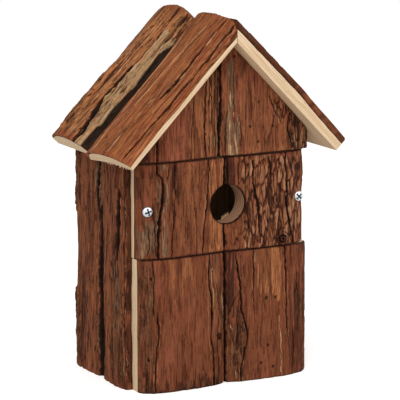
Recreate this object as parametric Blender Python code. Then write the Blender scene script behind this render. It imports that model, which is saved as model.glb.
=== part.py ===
"""Bird nest box built of bark-faced log slabs, with a front panel that comes off.

The frame is metres with +Z up and +Y to the back. The origin is on the underside of the
floor board, at the middle of the box. Each wall and each side of the roof is two slabs
laid side by side: a slab is sawn flat on its back, its edges and its ends, and keeps the
log's round bark face outside.
"""

import math
from dataclasses import dataclass

import bmesh
import bpy
from mathutils import Matrix, Vector

MM = 0.001

# Carcass
INNER_WIDTH = 120.0 * MM
INNER_DEPTH = 88.2 * MM
LOWER_FRONT_HEIGHT = 102.0 * MM
DOOR_HEIGHT = 72.2 * MM
APEX_HEIGHT = 263.4 * MM
FLOOR_THICKNESS = 9.0 * MM
BACK_THICKNESS = 9.0 * MM

# Clearances and cuts
SEAT_GAP = 0.3 * MM
DOOR_SEAM = 0.7 * MM
OVERRUN = 4.0 * MM
ARRIS = 0.5 * MM
SAME_PLACE = 0.001 * MM

# Side wall slabs
WALL_THICKNESS = 12.0 * MM
WALL_REAR_EDGE = 7.0 * MM
WALL_LEFT_FRONT_EDGE = 15.5 * MM
WALL_RIGHT_FRONT_EDGE = 14.2 * MM
WALL_JOINT_EDGE = 14.5 * MM
WALL_FOOT_CROWN = 19.3 * MM
WALL_HEAD_CROWN = 17.6 * MM
WALL_JOINT_FORWARD = 3.0 * MM

# Front slabs
FRONT_EDGE = 9.0 * MM
FRONT_JOINT_EDGE = 13.4 * MM
FRONT_JOINT_LEFT = 1.0 * MM
LOWER_FOOT_CROWN = 21.4 * MM
LOWER_HEAD_CROWN = 17.0 * MM
LOWER_RIGHT_PROUD = 0.7 * MM
DOOR_CROWN = 17.4 * MM
DOOR_LEFT_PROUD = 0.4 * MM
DOOR_RIGHT_SHORT = 3.5 * MM
GABLE_CROWN = 17.6 * MM
GABLE_JOINT_LEFT = 6.5 * MM
GABLE_RIGHT_PROUD = 1.2 * MM

# Roof slabs
ROOF_PITCH = math.radians(45.5)
ROOF_RUN = 123.5 * MM
ROOF_FRONT_OVERHANG = 22.7 * MM
ROOF_JOINT_FORWARD = 9.3 * MM
ROOF_REAR_EDGE = 5.6 * MM
ROOF_JOINT_EDGE = 4.6 * MM
ROOF_LEFT_FRONT_EDGE = 4.0 * MM
ROOF_RIGHT_FRONT_EDGE = 11.6 * MM
ROOF_REAR_EAVE_CROWN = 17.2 * MM
ROOF_REAR_RIDGE_CROWN = 12.4 * MM
ROOF_FRONT_EAVE_CROWN = 14.0 * MM
ROOF_FRONT_RIDGE_CROWN = 13.2 * MM

# Entry hole
HOLE_DIAMETER = 30.0 * MM
HOLE_RIGHT = 1.0 * MM

# Door screws
SCREW_HEAD_DIAMETER = 8.0 * MM
SCREW_HEAD_HEIGHT = 2.7 * MM
SCREW_SHANK_DIAMETER = 3.8 * MM
SCREW_LENGTH = 32.0 * MM
SCREW_POINT = 4.0 * MM
SCREW_SEAT_DEPTH = 13.2 * MM
SCREW_LEFT_INSET = 6.4 * MM
SCREW_RIGHT_INSET = 5.1 * MM
SCREW_RAISE = 0.3 * MM
SCREW_LEFT_TURN = math.radians(16)
SCREW_RIGHT_TURN = math.radians(45)
RECESS_SPAN = 5.0 * MM
RECESS_WING = 1.1 * MM
RECESS_DEPTH = 1.8 * MM
RECESS_FLOOR_SHARE = 0.45
HEAD_EDGE_SHARE = 0.35

# Strips that tie the slabs together inside
DOOR_BATTEN_THICKNESS = 8.0 * MM
DOOR_BATTEN_HEIGHT = 10.0 * MM
DOOR_BATTEN_INSET = 5.3 * MM
DOOR_BATTEN_SIDE_GAP = 2.0 * MM
RAIL_THICKNESS = 10.0 * MM
RAIL_HEIGHT = 11.0 * MM
RAIL_SETBACK = 2.0 * MM
EAVE_STRIP_WIDTH = 10.0 * MM
EAVE_STRIP_HEIGHT = 10.0 * MM
RIDGE_STRIP_WIDTH = 16.0 * MM
RIDGE_STRIP_DROP = 24.0 * MM

# Hanging hole
HANGING_HOLE_DIAMETER = 8.0 * MM
HANGING_HOLE_BELOW_APEX = 41.0 * MM

# Bark surface
ROW_STEP = 11.0 * MM
COLUMN_COUNT = 12
COLUMN_LEAST = 0.4 * MM
SAWN_POWER = 3.0
SAWN_ROOT = 0.5
WANEY_POWER = 2.0
WANEY_ROOT = 0.65
RIPPLE_HEIGHT = 0.55 * MM
RIPPLE_PITCH = 17.0 * MM
RIPPLE_RUN = 61.0 * MM
RIPPLE_SWING_SHARE = 0.5
EDGE_WAVE_HEIGHT = 0.5 * MM
EDGE_WAVE_RUN = 37.0 * MM
GRAIN_WANDER = 1.6 * MM
GRAIN_WANDER_RUN = 96.0 * MM
CRACK_FLOOR_SHARE = 0.34
CRACK_CLEAR_SHARE = 0.8
CRACK_FADE_SHARE = 0.14

# Crack sizes
FINE_CRACK_WIDTH = 1.8 * MM
FINE_CRACK_DEPTH = 1.1 * MM
CRACK_WIDTH = 2.8 * MM
CRACK_DEPTH = 2.2 * MM
WIDE_CRACK_WIDTH = 4.2 * MM
WIDE_CRACK_DEPTH = 3.0 * MM

# Facets of round work
HOLE_SIDES = 40
SCREW_SIDES = 20
SHANK_HOLE_SIDES = 16
HEAD_ARC_STEPS = 4
SMOOTH_ANGLE = math.radians(40)

# Places worked out from the sizes above
FRONT_PLANE = -INNER_DEPTH / 2
BACK_PLANE = INNER_DEPTH / 2 + BACK_THICKNESS
INSIDE_FRONT = FRONT_PLANE + SEAT_GAP
INSIDE_REAR = INNER_DEPTH / 2 - SEAT_GAP
INSIDE_HALF = INNER_WIDTH / 2 - SEAT_GAP
RAIL_REAR = INSIDE_FRONT + RAIL_THICKNESS
CORNER = INNER_WIDTH / 2 + WALL_THICKNESS
DOOR_BOTTOM = LOWER_FRONT_HEIGHT + DOOR_SEAM
DOOR_TOP = DOOR_BOTTOM + DOOR_HEIGHT
DOOR_MIDDLE = DOOR_BOTTOM + DOOR_HEIGHT / 2
DOOR_LEFT = -CORNER - DOOR_LEFT_PROUD
DOOR_RIGHT = CORNER - DOOR_RIGHT_SHORT
GABLE_BOTTOM = DOOR_TOP + DOOR_SEAM
SCREW_HEIGHT = DOOR_MIDDLE + SCREW_RAISE
SCREW_SEAT = FRONT_PLANE - SCREW_SEAT_DEPTH
ROOF_FRONT = FRONT_PLANE - FRONT_EDGE - ROOF_FRONT_OVERHANG
PITCH_SINE = math.sin(ROOF_PITCH)
PITCH_COSINE = math.cos(ROOF_PITCH)
PITCH_SLOPE = math.tan(ROOF_PITCH)

# Directions across and along the grain of a piece, in the box's frame
RIGHTWARD = Vector((1, 0, 0))
FORWARD = Vector((0, -1, 0))
BACKWARD = Vector((0, 1, 0))
UPWARD = Vector((0, 0, 1))

# Colours as hex sRGB
WALL_BARK = "7A4A33"
ROOF_BARK = "96583A"
SAWN_WOOD = "DFC39A"
ZINC = "D5D8DC"


@dataclass(frozen=True)
class Crack:
    """A crack along the grain, placed by shares of its slab's width and length."""

    across_share: float
    start_share: float
    end_share: float
    width: float = CRACK_WIDTH
    depth: float = CRACK_DEPTH


@dataclass(frozen=True)
class Edge:
    """A long edge of a slab: its thickness, and how the bark bends down to it."""

    thickness: float
    power: float
    root: float


@dataclass(frozen=True)
class Bark:
    """The lie of a slab's bark: where its ripples start in their run, and its cracks."""

    phase_share: float
    cracks: tuple


@dataclass(frozen=True)
class Slab:
    """A log slab: x runs across it, y along its grain and z out through the bark."""

    name: str
    width: float
    length: float
    low: Edge
    high: Edge
    foot_crown: float
    head_crown: float


@dataclass(frozen=True)
class Cut:
    """A saw cut in the slab's own frame. What lies on the normal's side comes off."""

    point: tuple
    normal: tuple


def fine(across_share, start_share, end_share):
    """A hairline crack."""
    return Crack(across_share, start_share, end_share, FINE_CRACK_WIDTH, FINE_CRACK_DEPTH)


def wide(across_share, start_share, end_share):
    """A crack that shows dark from a distance."""
    return Crack(across_share, start_share, end_share, WIDE_CRACK_WIDTH, WIDE_CRACK_DEPTH)


def sawn(edge_thickness):
    """An edge sawn square through the bark."""
    return Edge(edge_thickness, SAWN_POWER, SAWN_ROOT)


def waney(edge_thickness):
    """An edge that keeps the round of the log."""
    return Edge(edge_thickness, WANEY_POWER, WANEY_ROOT)


# The bark of each slab, as shares of the slab's own width and length
BARK_SHARES = {
    "left_wall_rear_slab": Bark(0.20, (fine(0.33, -0.2, 1.2), Crack(0.70, 0.1, 0.9))),
    "left_wall_front_slab": Bark(0.85, (wide(0.62, 0.42, 0.78), fine(0.30, -0.2, 0.6))),
    "right_wall_rear_slab": Bark(0.48, (Crack(0.42, 0.0, 0.8), fine(0.74, -0.2, 1.2))),
    "right_wall_front_slab": Bark(0.13, (Crack(0.45, 0.2, 1.2),)),
    "front_lower_left_slab": Bark(0.10, (Crack(0.18, -0.2, 1.2), fine(0.79, -0.2, 1.2),
                                         Crack(0.89, -0.2, 1.2))),
    "front_lower_right_slab": Bark(0.55, (Crack(0.21, 0.0, 0.98), fine(0.34, 0.5, 1.2),
                                          Crack(0.72, 0.32, 1.0))),
    "gable_left_slab": Bark(0.30, (Crack(0.21, -0.2, 0.5), fine(0.66, -0.2, 1.0),
                                   fine(0.86, -0.2, 1.2))),
    "gable_right_slab": Bark(0.75, (fine(0.14, 0.35, 1.2), Crack(0.66, -0.2, 0.6),
                                    fine(0.84, -0.2, 0.4))),
    "door_left_slab": Bark(0.62, (wide(0.24, 0.0, 1.0), fine(0.37, -0.2, 1.2),
                                  fine(0.62, -0.2, 0.8))),
    "door_right_slab": Bark(0.05, (Crack(0.50, 0.1, 1.2), fine(0.62, -0.2, 0.7),
                                   Crack(0.77, -0.2, 1.0))),
    "roof_left_rear_slab": Bark(0.37, (wide(0.70, 0.10, 1.2), Crack(0.42, -0.2, 0.5))),
    "roof_left_front_slab": Bark(0.92, (fine(0.45, -0.2, 1.2), Crack(0.80, -0.2, 1.2))),
    "roof_right_rear_slab": Bark(0.66, (Crack(0.30, 0.0, 0.9), fine(0.72, -0.2, 1.2))),
    "roof_right_front_slab": Bark(0.25, (Crack(0.35, -0.2, 1.2), fine(0.70, 0.2, 1.2))),
}


def clear_scene():
    """Remove what the start-up file holds."""
    for thing in list(bpy.data.objects):
        bpy.data.objects.remove(thing, do_unlink=True)


def linear(channel):
    """An sRGB channel as linear light."""
    knee, low_slope, offset, power = 0.04045, 12.92, 0.055, 2.4
    if channel <= knee:
        return channel / low_slope
    return ((channel + offset) / (1 + offset)) ** power


def finish(name, colour, roughness, metallic=0.0):
    """A Principled material from a hex colour."""
    shade = [linear(int(colour[i:i + 2], 16) / 255) for i in (0, 2, 4)]
    material = bpy.data.materials.new(name)
    material.use_nodes = True
    shader = material.node_tree.nodes["Principled BSDF"]
    shader.inputs["Base Color"].default_value = (*shade, 1)
    shader.inputs["Roughness"].default_value = roughness
    shader.inputs["Metallic"].default_value = metallic
    return material


def make_parent(name, location):
    """An empty that carries the pieces of one body."""
    empty = bpy.data.objects.new(name, None)
    bpy.context.collection.objects.link(empty)
    empty.location = location
    return empty


def make_object(name, bm, parent, materials=()):
    """Turn a bmesh into a named object under its parent empty."""
    bmesh.ops.recalc_face_normals(bm, faces=bm.faces)
    mesh = bpy.data.meshes.new(name)
    bm.to_mesh(mesh)
    bm.free()
    for material in materials:
        mesh.materials.append(material)
    piece = bpy.data.objects.new(name, mesh)
    bpy.context.collection.objects.link(piece)
    piece.parent = parent
    return piece


def shade(piece):
    """Shade round work smooth and keep its sawn corners sharp."""
    piece.data.shade_smooth()
    piece.data.set_sharp_from_angle(angle=SMOOTH_ANGLE)


def place(piece, origin, across, along):
    """Put a piece's own origin, X axis and Y axis where they belong in the box."""
    turn = Matrix((across, along, across.cross(along))).transposed()
    piece.rotation_euler = turn.to_euler()
    piece.location = Vector(origin) - piece.parent.location


def ease(share):
    """A smooth step from 0 to 1."""
    share = min(max(share, 0.0), 1.0)
    return share * share * (3 - 2 * share)


def wave(distance, run, phase_share):
    """A sine of a distance that repeats over one run."""
    return math.sin(2 * math.pi * (distance / run + phase_share))


def spaced(columns, width):
    """Sort the columns and drop those that lie too close to the one before."""
    kept = [0.0]
    for x in sorted(columns):
        if x - kept[-1] > COLUMN_LEAST and width - x > COLUMN_LEAST:
            kept.append(x)
    return kept + [width]


def bark_columns(slab):
    """Places across the slab where its mesh has a column, closer at edges and cracks."""
    turns = [math.pi * i / COLUMN_COUNT for i in range(COLUMN_COUNT + 1)]
    columns = [slab.width * (1 - math.cos(turn)) / 2 for turn in turns]
    crack_columns = []
    for crack in BARK_SHARES[slab.name].cracks:
        centre = slab.width * crack.across_share
        clear = crack.width * CRACK_CLEAR_SHARE
        columns = [x for x in columns if abs(x - centre) > clear]
        lip = crack.width / 2
        floor = lip * CRACK_FLOOR_SHARE
        crack_columns += [centre - lip, centre - floor, centre + floor, centre + lip]
    return spaced(columns + crack_columns, slab.width)


def crack_depth(slab, x, along):
    """How deep the cracks reach below the bark at a place on the slab."""
    deepest = 0.0
    for crack in BARK_SHARES[slab.name].cracks:
        lip = crack.width / 2
        floor = lip * CRACK_FLOOR_SHARE
        inside = (lip - abs(x - slab.width * crack.across_share)) / (lip - floor)
        opens = ease((along - crack.start_share) / CRACK_FADE_SHARE)
        closes = ease((crack.end_share - along) / CRACK_FADE_SHARE)
        deepest = max(deepest, crack.depth * ease(inside) * opens * closes)
    return deepest


def thickness(slab, x, y):
    """Thickness of the slab over its sawn back, x across and y along the grain."""
    phase_share = BARK_SHARES[slab.name].phase_share
    across = x / slab.width
    along = y / slab.length
    edge = slab.low.thickness + (slab.high.thickness - slab.low.thickness) * across
    edge += EDGE_WAVE_HEIGHT * wave(y, EDGE_WAVE_RUN, phase_share + across)
    crown = slab.foot_crown + (slab.head_crown - slab.foot_crown) * along
    near = slab.low if 2 * across < 1 else slab.high
    rise = (1 - abs(2 * across - 1) ** near.power) ** near.root
    swing = RIPPLE_SWING_SHARE * wave(y, RIPPLE_RUN, phase_share)
    ripple = RIPPLE_HEIGHT * wave(x, RIPPLE_PITCH, phase_share + swing)
    return edge + (crown - edge + ripple - crack_depth(slab, x, along)) * rise


def wandered(slab, x, y):
    """Shift a column as the grain wanders, but never at the sawn edges."""
    phase_share = BARK_SHARES[slab.name].phase_share
    across = x / slab.width
    hold = 4 * across * (1 - across)
    return x + GRAIN_WANDER * hold * wave(y, GRAIN_WANDER_RUN, phase_share)


def slab_mesh(slab):
    """Loft the round bark face over the flat back and close it with the sawn sides."""
    bm = bmesh.new()
    columns = bark_columns(slab)
    row_count = max(round(slab.length / ROW_STEP), 2)
    rows = [slab.length * j / row_count for j in range(row_count + 1)]
    bark = [[bm.verts.new((wandered(slab, x, y), y, thickness(slab, x, y))) for x in columns]
            for y in rows]
    for near, far in zip(bark, bark[1:]):
        for i in range(len(columns) - 1):
            bm.faces.new((near[i], near[i + 1], far[i + 1], far[i]))
    foot = [bm.verts.new((x, 0, 0)) for x in (0, slab.width)]
    head = [bm.verts.new((x, slab.length, 0)) for x in (0, slab.width)]
    sawn = [[foot[0], head[0], head[1], foot[1]],
            [foot[0]] + [row[0] for row in bark] + [head[0]],
            [foot[1]] + [row[-1] for row in bark] + [head[1]],
            foot + list(reversed(bark[0])),
            head + list(reversed(bark[-1]))]
    for outline in sawn:
        bm.faces.new(outline).material_index = 1
    return bm


def saw(bm, cut):
    """Cut the mesh by a plane, drop what is beyond it and close the sawn face."""
    everything = bm.verts[:] + bm.edges[:] + bm.faces[:]
    result = bmesh.ops.bisect_plane(bm, geom=everything, dist=SAME_PLACE, plane_co=cut.point,
                                    plane_no=cut.normal, clear_outer=True)
    rim = [e for e in result["geom_cut"] if isinstance(e, bmesh.types.BMEdge) and e.is_boundary]
    if rim:
        for face in bmesh.ops.holes_fill(bm, edges=rim)["faces"]:
            face.material_index = 1


def slab_object(slab, parent, colour, cuts=(), mirrored=False):
    """One slab sawn to its outline. A mirrored one has its bark on the other side."""
    bm = slab_mesh(slab)
    for cut in cuts:
        saw(bm, cut)
    if mirrored:
        bmesh.ops.scale(bm, verts=bm.verts, vec=(1, 1, -1))
    materials = (finish(f"{slab.name} bark", colour, 0.85),
                 finish(f"{slab.name} sawn", SAWN_WOOD, 0.7))
    piece = make_object(slab.name, bm, parent, materials)
    shade(piece)
    return piece


def board_object(name, parent, outline, depth):
    """A plain board or strip: an outline extruded along its own Z, arrises taken off."""
    bm = bmesh.new()
    face = bm.faces.new([bm.verts.new((x, y, 0)) for x, y in outline])
    grown = bmesh.ops.extrude_face_region(bm, geom=[face])
    top = [v for v in grown["geom"] if isinstance(v, bmesh.types.BMVert)]
    bmesh.ops.translate(bm, verts=top, vec=(0, 0, depth))
    piece = make_object(name, bm, parent, [finish(f"{name} wood", SAWN_WOOD, 0.7)])
    bevel = piece.modifiers.new("arris", "BEVEL")
    bevel.width = ARRIS
    bevel.segments = 1
    return piece


def rectangle(low_x, high_x, low_y, high_y):
    """Corners of a rectangle."""
    return [(low_x, low_y), (high_x, low_y), (high_x, high_y), (low_x, high_y)]


def hide_cutter(piece):
    """Keep a cutter out of the model."""
    piece.hide_render = True
    piece.display_type = "WIRE"


def round_cutter(name, parent, x, z, front, rear, diameter, sides):
    """A round cutter along Y between two planes."""
    bm = bmesh.new()
    bmesh.ops.create_cone(bm, cap_ends=True, segments=sides, radius1=diameter / 2,
                          radius2=diameter / 2, depth=rear - front)
    cutter = make_object(name, bm, parent)
    hide_cutter(cutter)
    place(cutter, (x, (front + rear) / 2, z), RIGHTWARD, UPWARD)
    return cutter


def cut_out(piece, cutter):
    """Take a cutter's volume out of a piece."""
    boolean = piece.modifiers.new(cutter.name, "BOOLEAN")
    boolean.operation = "DIFFERENCE"
    boolean.solver = "EXACT"
    boolean.object = cutter


def under_roof(distance):
    """Height of what fits under the roof at a distance from the middle."""
    return APEX_HEIGHT - SEAT_GAP / PITCH_COSINE - distance * PITCH_SLOPE


def half_under_roof(height):
    """Half the width that is free under the roof at a height."""
    return (under_roof(0) - height) / PITCH_SLOPE


def make_side_wall(house, side, mirrored, front_edge):
    """Two upright slabs of a side wall, cut to the roof's slope. Returns the front one."""
    top = under_roof(INNER_WIDTH / 2)
    slope_cut = Cut((0, top, 0), (0, PITCH_COSINE, PITCH_SINE))
    inner_face = INNER_WIDTH / 2 if mirrored else -INNER_WIDTH / 2
    joint_rear = SEAT_GAP / 2 - WALL_JOINT_FORWARD
    joint_front = joint_rear - SEAT_GAP
    rear = Slab(f"{side}_wall_rear_slab", BACK_PLANE - joint_rear, top + OVERRUN,
                waney(WALL_REAR_EDGE), sawn(WALL_JOINT_EDGE),
                WALL_FOOT_CROWN, WALL_HEAD_CROWN)
    front = Slab(f"{side}_wall_front_slab", joint_front - INSIDE_FRONT, top + OVERRUN,
                 sawn(WALL_JOINT_EDGE), sawn(front_edge),
                 WALL_FOOT_CROWN, WALL_HEAD_CROWN)
    for slab, start in ((rear, BACK_PLANE), (front, joint_front)):
        piece = slab_object(slab, house, WALL_BARK, [slope_cut], mirrored)
        place(piece, (inner_face, start, 0), FORWARD, UPWARD)
    return piece


def make_roof_side(house, side, mirrored, front_edge):
    """Two slabs of one roof slope, mitred at the ridge and square at the eave."""
    sign = -1 if mirrored else 1
    upslope = Vector((sign * PITCH_COSINE, 0, PITCH_SINE))
    mitre = Cut((0, ROOF_RUN - SEAT_GAP / 2 / PITCH_COSINE, 0), (0, PITCH_COSINE, -PITCH_SINE))
    length = ROOF_RUN + ROOF_REAR_EAVE_CROWN * PITCH_SLOPE + OVERRUN
    eave_x = -sign * ROOF_RUN * PITCH_COSINE
    eave_z = APEX_HEIGHT - ROOF_RUN * PITCH_SINE
    joint_rear = SEAT_GAP / 2 - ROOF_JOINT_FORWARD
    joint_front = joint_rear - SEAT_GAP
    rear = Slab(f"roof_{side}_rear_slab", BACK_PLANE - joint_rear, length,
                waney(ROOF_REAR_EDGE), waney(ROOF_JOINT_EDGE),
                ROOF_REAR_EAVE_CROWN, ROOF_REAR_RIDGE_CROWN)
    front = Slab(f"roof_{side}_front_slab", joint_front - ROOF_FRONT, length,
                 waney(ROOF_JOINT_EDGE), front_edge,
                 ROOF_FRONT_EAVE_CROWN, ROOF_FRONT_RIDGE_CROWN)
    for slab, start in ((rear, BACK_PLANE), (front, joint_front)):
        piece = slab_object(slab, house, ROOF_BARK, [mitre], mirrored)
        place(piece, (eave_x, start, eave_z), FORWARD, upslope)


def make_lower_front(house):
    """The two fixed slabs below the door."""
    joint = -FRONT_JOINT_LEFT
    right = CORNER + LOWER_RIGHT_PROUD
    left_slab = Slab("front_lower_left_slab", joint - SEAT_GAP / 2 + CORNER,
                     LOWER_FRONT_HEIGHT, sawn(FRONT_EDGE), sawn(FRONT_JOINT_EDGE),
                     LOWER_FOOT_CROWN, LOWER_HEAD_CROWN)
    right_slab = Slab("front_lower_right_slab", right - joint - SEAT_GAP / 2,
                      LOWER_FRONT_HEIGHT, sawn(FRONT_JOINT_EDGE), sawn(FRONT_EDGE),
                      LOWER_FOOT_CROWN, LOWER_HEAD_CROWN)
    for slab, left in ((left_slab, -CORNER), (right_slab, joint + SEAT_GAP / 2)):
        piece = slab_object(slab, house, WALL_BARK)
        place(piece, (left, FRONT_PLANE, 0), RIGHTWARD, UPWARD)


def make_gable(house):
    """The two fixed slabs above the door, their tops cut to both roof slopes."""
    joint = -GABLE_JOINT_LEFT
    right = CORNER + GABLE_RIGHT_PROUD
    height = under_roof(0) - GABLE_BOTTOM
    left_slab = Slab("gable_left_slab", joint - SEAT_GAP / 2 + CORNER, height + OVERRUN,
                     sawn(FRONT_EDGE), sawn(FRONT_JOINT_EDGE), GABLE_CROWN, GABLE_CROWN)
    right_slab = Slab("gable_right_slab", right - joint - SEAT_GAP / 2, height + OVERRUN,
                      sawn(FRONT_JOINT_EDGE), sawn(FRONT_EDGE), GABLE_CROWN, GABLE_CROWN)
    for slab, left in ((left_slab, -CORNER), (right_slab, joint + SEAT_GAP / 2)):
        peak = (-left, height, 0)
        cuts = [Cut(peak, (-PITCH_SINE, PITCH_COSINE, 0)), Cut(peak, (PITCH_SINE, PITCH_COSINE, 0))]
        piece = slab_object(slab, house, WALL_BARK, cuts)
        place(piece, (left, FRONT_PLANE, GABLE_BOTTOM), RIGHTWARD, UPWARD)


def make_floor(house):
    """The floor board between the walls."""
    outline = rectangle(-INSIDE_HALF, INSIDE_HALF, INSIDE_FRONT, INSIDE_REAR)
    board = board_object("floor_board", house, outline, FLOOR_THICKNESS)
    place(board, (0, 0, 0), RIGHTWARD, BACKWARD)


def make_back(house):
    """The flat back board between the side walls, with a hole to hang the box by."""
    shoulder = under_roof(INSIDE_HALF)
    outline = rectangle(-INSIDE_HALF, INSIDE_HALF, 0, shoulder)
    outline.insert(3, (0, under_roof(0)))
    board = board_object("back_board", house, outline, BACK_THICKNESS)
    place(board, (0, BACK_PLANE, 0), RIGHTWARD, UPWARD)
    cutter = round_cutter("hanging_hole_cutter", house, 0, APEX_HEIGHT - HANGING_HOLE_BELOW_APEX,
                          BACK_PLANE - BACK_THICKNESS - OVERRUN, BACK_PLANE + OVERRUN,
                          HANGING_HOLE_DIAMETER, SHANK_HOLE_SIDES)
    cut_out(board, cutter)


def make_strip(house, name, outline, front):
    """A strip under the roof that runs from a plane at the front to the back board."""
    strip = board_object(name, house, outline, INSIDE_REAR - front)
    place(strip, (0, INSIDE_REAR, 0), RIGHTWARD, UPWARD)


def make_inner_strips(house):
    """The strips and rails that tie the slabs of the carcass together."""
    inner = INSIDE_HALF - EAVE_STRIP_WIDTH
    bottom = under_roof(INSIDE_HALF) - EAVE_STRIP_HEIGHT
    for side, sign in (("left", -1), ("right", 1)):
        make_strip(house, f"eave_strip_{side}",
                   [(sign * inner, bottom), (sign * INSIDE_HALF, bottom),
                    (sign * INSIDE_HALF, under_roof(INSIDE_HALF)),
                    (sign * inner, under_roof(inner))], RAIL_REAR + SEAT_GAP)
    half = RIDGE_STRIP_WIDTH / 2
    ridge = rectangle(-half, half, APEX_HEIGHT - RIDGE_STRIP_DROP, under_roof(half))
    ridge.insert(3, (0, under_roof(0)))
    make_strip(house, "ridge_strip", ridge, INSIDE_FRONT)
    rails = (("sill_rail", LOWER_FRONT_HEIGHT - RAIL_SETBACK - RAIL_HEIGHT),
             ("gable_rail", GABLE_BOTTOM + RAIL_SETBACK))
    for name, low in rails:
        half = min(INSIDE_HALF, half_under_roof(low + RAIL_HEIGHT))
        outline = rectangle(-half, half, low, low + RAIL_HEIGHT)
        rail = board_object(name, house, outline, RAIL_THICKNESS)
        place(rail, (0, RAIL_REAR, 0), RIGHTWARD, UPWARD)


def make_door_slabs(door):
    """The door's two slabs with the entry hole through both."""
    joint = -FRONT_JOINT_LEFT
    left_slab = Slab("door_left_slab", joint - SEAT_GAP / 2 - DOOR_LEFT, DOOR_HEIGHT,
                     sawn(FRONT_EDGE), sawn(FRONT_JOINT_EDGE), DOOR_CROWN, DOOR_CROWN)
    right_slab = Slab("door_right_slab", DOOR_RIGHT - joint - SEAT_GAP / 2, DOOR_HEIGHT,
                      sawn(FRONT_JOINT_EDGE), sawn(FRONT_EDGE), DOOR_CROWN, DOOR_CROWN)
    hole = round_cutter("entry_hole_cutter", door, HOLE_RIGHT, DOOR_MIDDLE,
                        FRONT_PLANE - DOOR_CROWN - OVERRUN, FRONT_PLANE + OVERRUN,
                        HOLE_DIAMETER, HOLE_SIDES)
    pieces = []
    for slab, left in ((left_slab, DOOR_LEFT), (right_slab, joint + SEAT_GAP / 2)):
        piece = slab_object(slab, door, WALL_BARK)
        place(piece, (left, FRONT_PLANE, DOOR_BOTTOM), RIGHTWARD, UPWARD)
        cut_out(piece, hole)
        pieces.append(piece)
    return pieces


def make_door_battens(door):
    """The two battens that hold the door's slabs together and pass between the walls."""
    half = INNER_WIDTH / 2 - DOOR_BATTEN_SIDE_GAP
    bottoms = (("lower", DOOR_BOTTOM + DOOR_BATTEN_INSET),
               ("upper", DOOR_TOP - DOOR_BATTEN_INSET - DOOR_BATTEN_HEIGHT))
    for level, bottom in bottoms:
        outline = rectangle(-half, half, bottom, bottom + DOOR_BATTEN_HEIGHT)
        batten = board_object(f"door_batten_{level}", door, outline, DOOR_BATTEN_THICKNESS)
        place(batten, (0, INSIDE_FRONT + DOOR_BATTEN_THICKNESS, 0), RIGHTWARD, UPWARD)


def cross_outline(span, wing):
    """Corners of a cross with four equal arms."""
    far, near = span / 2, wing / 2
    arm = [(far, near), (near, near), (near, far)]
    corners = []
    for _ in range(4):
        corners += arm
        arm = [(-y, x) for x, y in arm]
    return corners


def recess_cutter(name, parent, origin, across, along):
    """The tapered cross that a screwdriver fits."""
    bm = bmesh.new()
    bottom = [bm.verts.new((x * RECESS_FLOOR_SHARE, y * RECESS_FLOOR_SHARE, -RECESS_DEPTH))
              for x, y in cross_outline(RECESS_SPAN, RECESS_WING)]
    growth = 2 - RECESS_FLOOR_SHARE
    top = [bm.verts.new((x * growth, y * growth, RECESS_DEPTH))
           for x, y in cross_outline(RECESS_SPAN, RECESS_WING)]
    for i in range(len(top)):
        bm.faces.new((bottom[i - 1], bottom[i], top[i], top[i - 1]))
    bm.faces.new(bottom)
    bm.faces.new(top)
    cutter = make_object(name, bm, parent)
    hide_cutter(cutter)
    place(cutter, origin, across, along)
    return cutter


def screw_profile():
    """Radius and height of a pan-head screw, from the top of its head to its point."""
    head, shank = SCREW_HEAD_DIAMETER / 2, SCREW_SHANK_DIAMETER / 2
    edge = SCREW_HEAD_HEIGHT * HEAD_EDGE_SHARE
    turns = [math.pi / 2 * i / HEAD_ARC_STEPS for i in range(HEAD_ARC_STEPS + 1)]
    dome = [(head * math.sin(turn), edge + (SCREW_HEAD_HEIGHT - edge) * math.cos(turn))
            for turn in turns]
    return dome + [(head, 0), (shank, 0), (shank, SCREW_POINT - SCREW_LENGTH),
                   (0, -SCREW_LENGTH)]


def make_screw(name, door, x, turn):
    """A pan-head screw turned about its own axis, with its cross recess."""
    bm = bmesh.new()
    line = [bm.verts.new((radius, 0, z)) for radius, z in screw_profile()]
    edges = [bm.edges.new(pair) for pair in zip(line, line[1:])]
    bmesh.ops.spin(bm, geom=line + edges, cent=(0, 0, 0), axis=(0, 0, 1), angle=2 * math.pi,
                   steps=SCREW_SIDES, use_merge=True)
    bmesh.ops.remove_doubles(bm, verts=bm.verts, dist=SAME_PLACE)
    seat = SCREW_SEAT - SEAT_GAP
    across = Vector((math.cos(turn), 0, math.sin(turn)))
    along = Vector((-math.sin(turn), 0, math.cos(turn)))
    screw = make_object(name, bm, door, [finish(f"{name} zinc", ZINC, 0.3, 1.0)])
    shade(screw)
    place(screw, (x, seat, SCREW_HEIGHT), across, along)
    top = (x, seat - SCREW_HEAD_HEIGHT, SCREW_HEIGHT)
    cut_out(screw, recess_cutter(f"{name}_recess_cutter", door, top, across, along))


def fit_screw(name, door, x, turn, door_slab, wall_slab):
    """Put a screw through a door slab into the end of a side wall slab."""
    tip = SCREW_SEAT - SEAT_GAP + SCREW_LENGTH
    shank_hole = round_cutter(f"{name}_hole_cutter", door, x, SCREW_HEIGHT, SCREW_SEAT - OVERRUN,
                              tip + SEAT_GAP, SCREW_SHANK_DIAMETER + 2 * SEAT_GAP,
                              SHANK_HOLE_SIDES)
    seat_face = round_cutter(f"{name}_seat_cutter", door, x, SCREW_HEIGHT,
                             SCREW_SEAT - DOOR_CROWN, SCREW_SEAT,
                             SCREW_HEAD_DIAMETER + 2 * SEAT_GAP, SCREW_SIDES)
    cut_out(door_slab, seat_face)
    cut_out(door_slab, shank_hole)
    cut_out(wall_slab, shank_hole)
    make_screw(name, door, x, turn)


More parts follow.
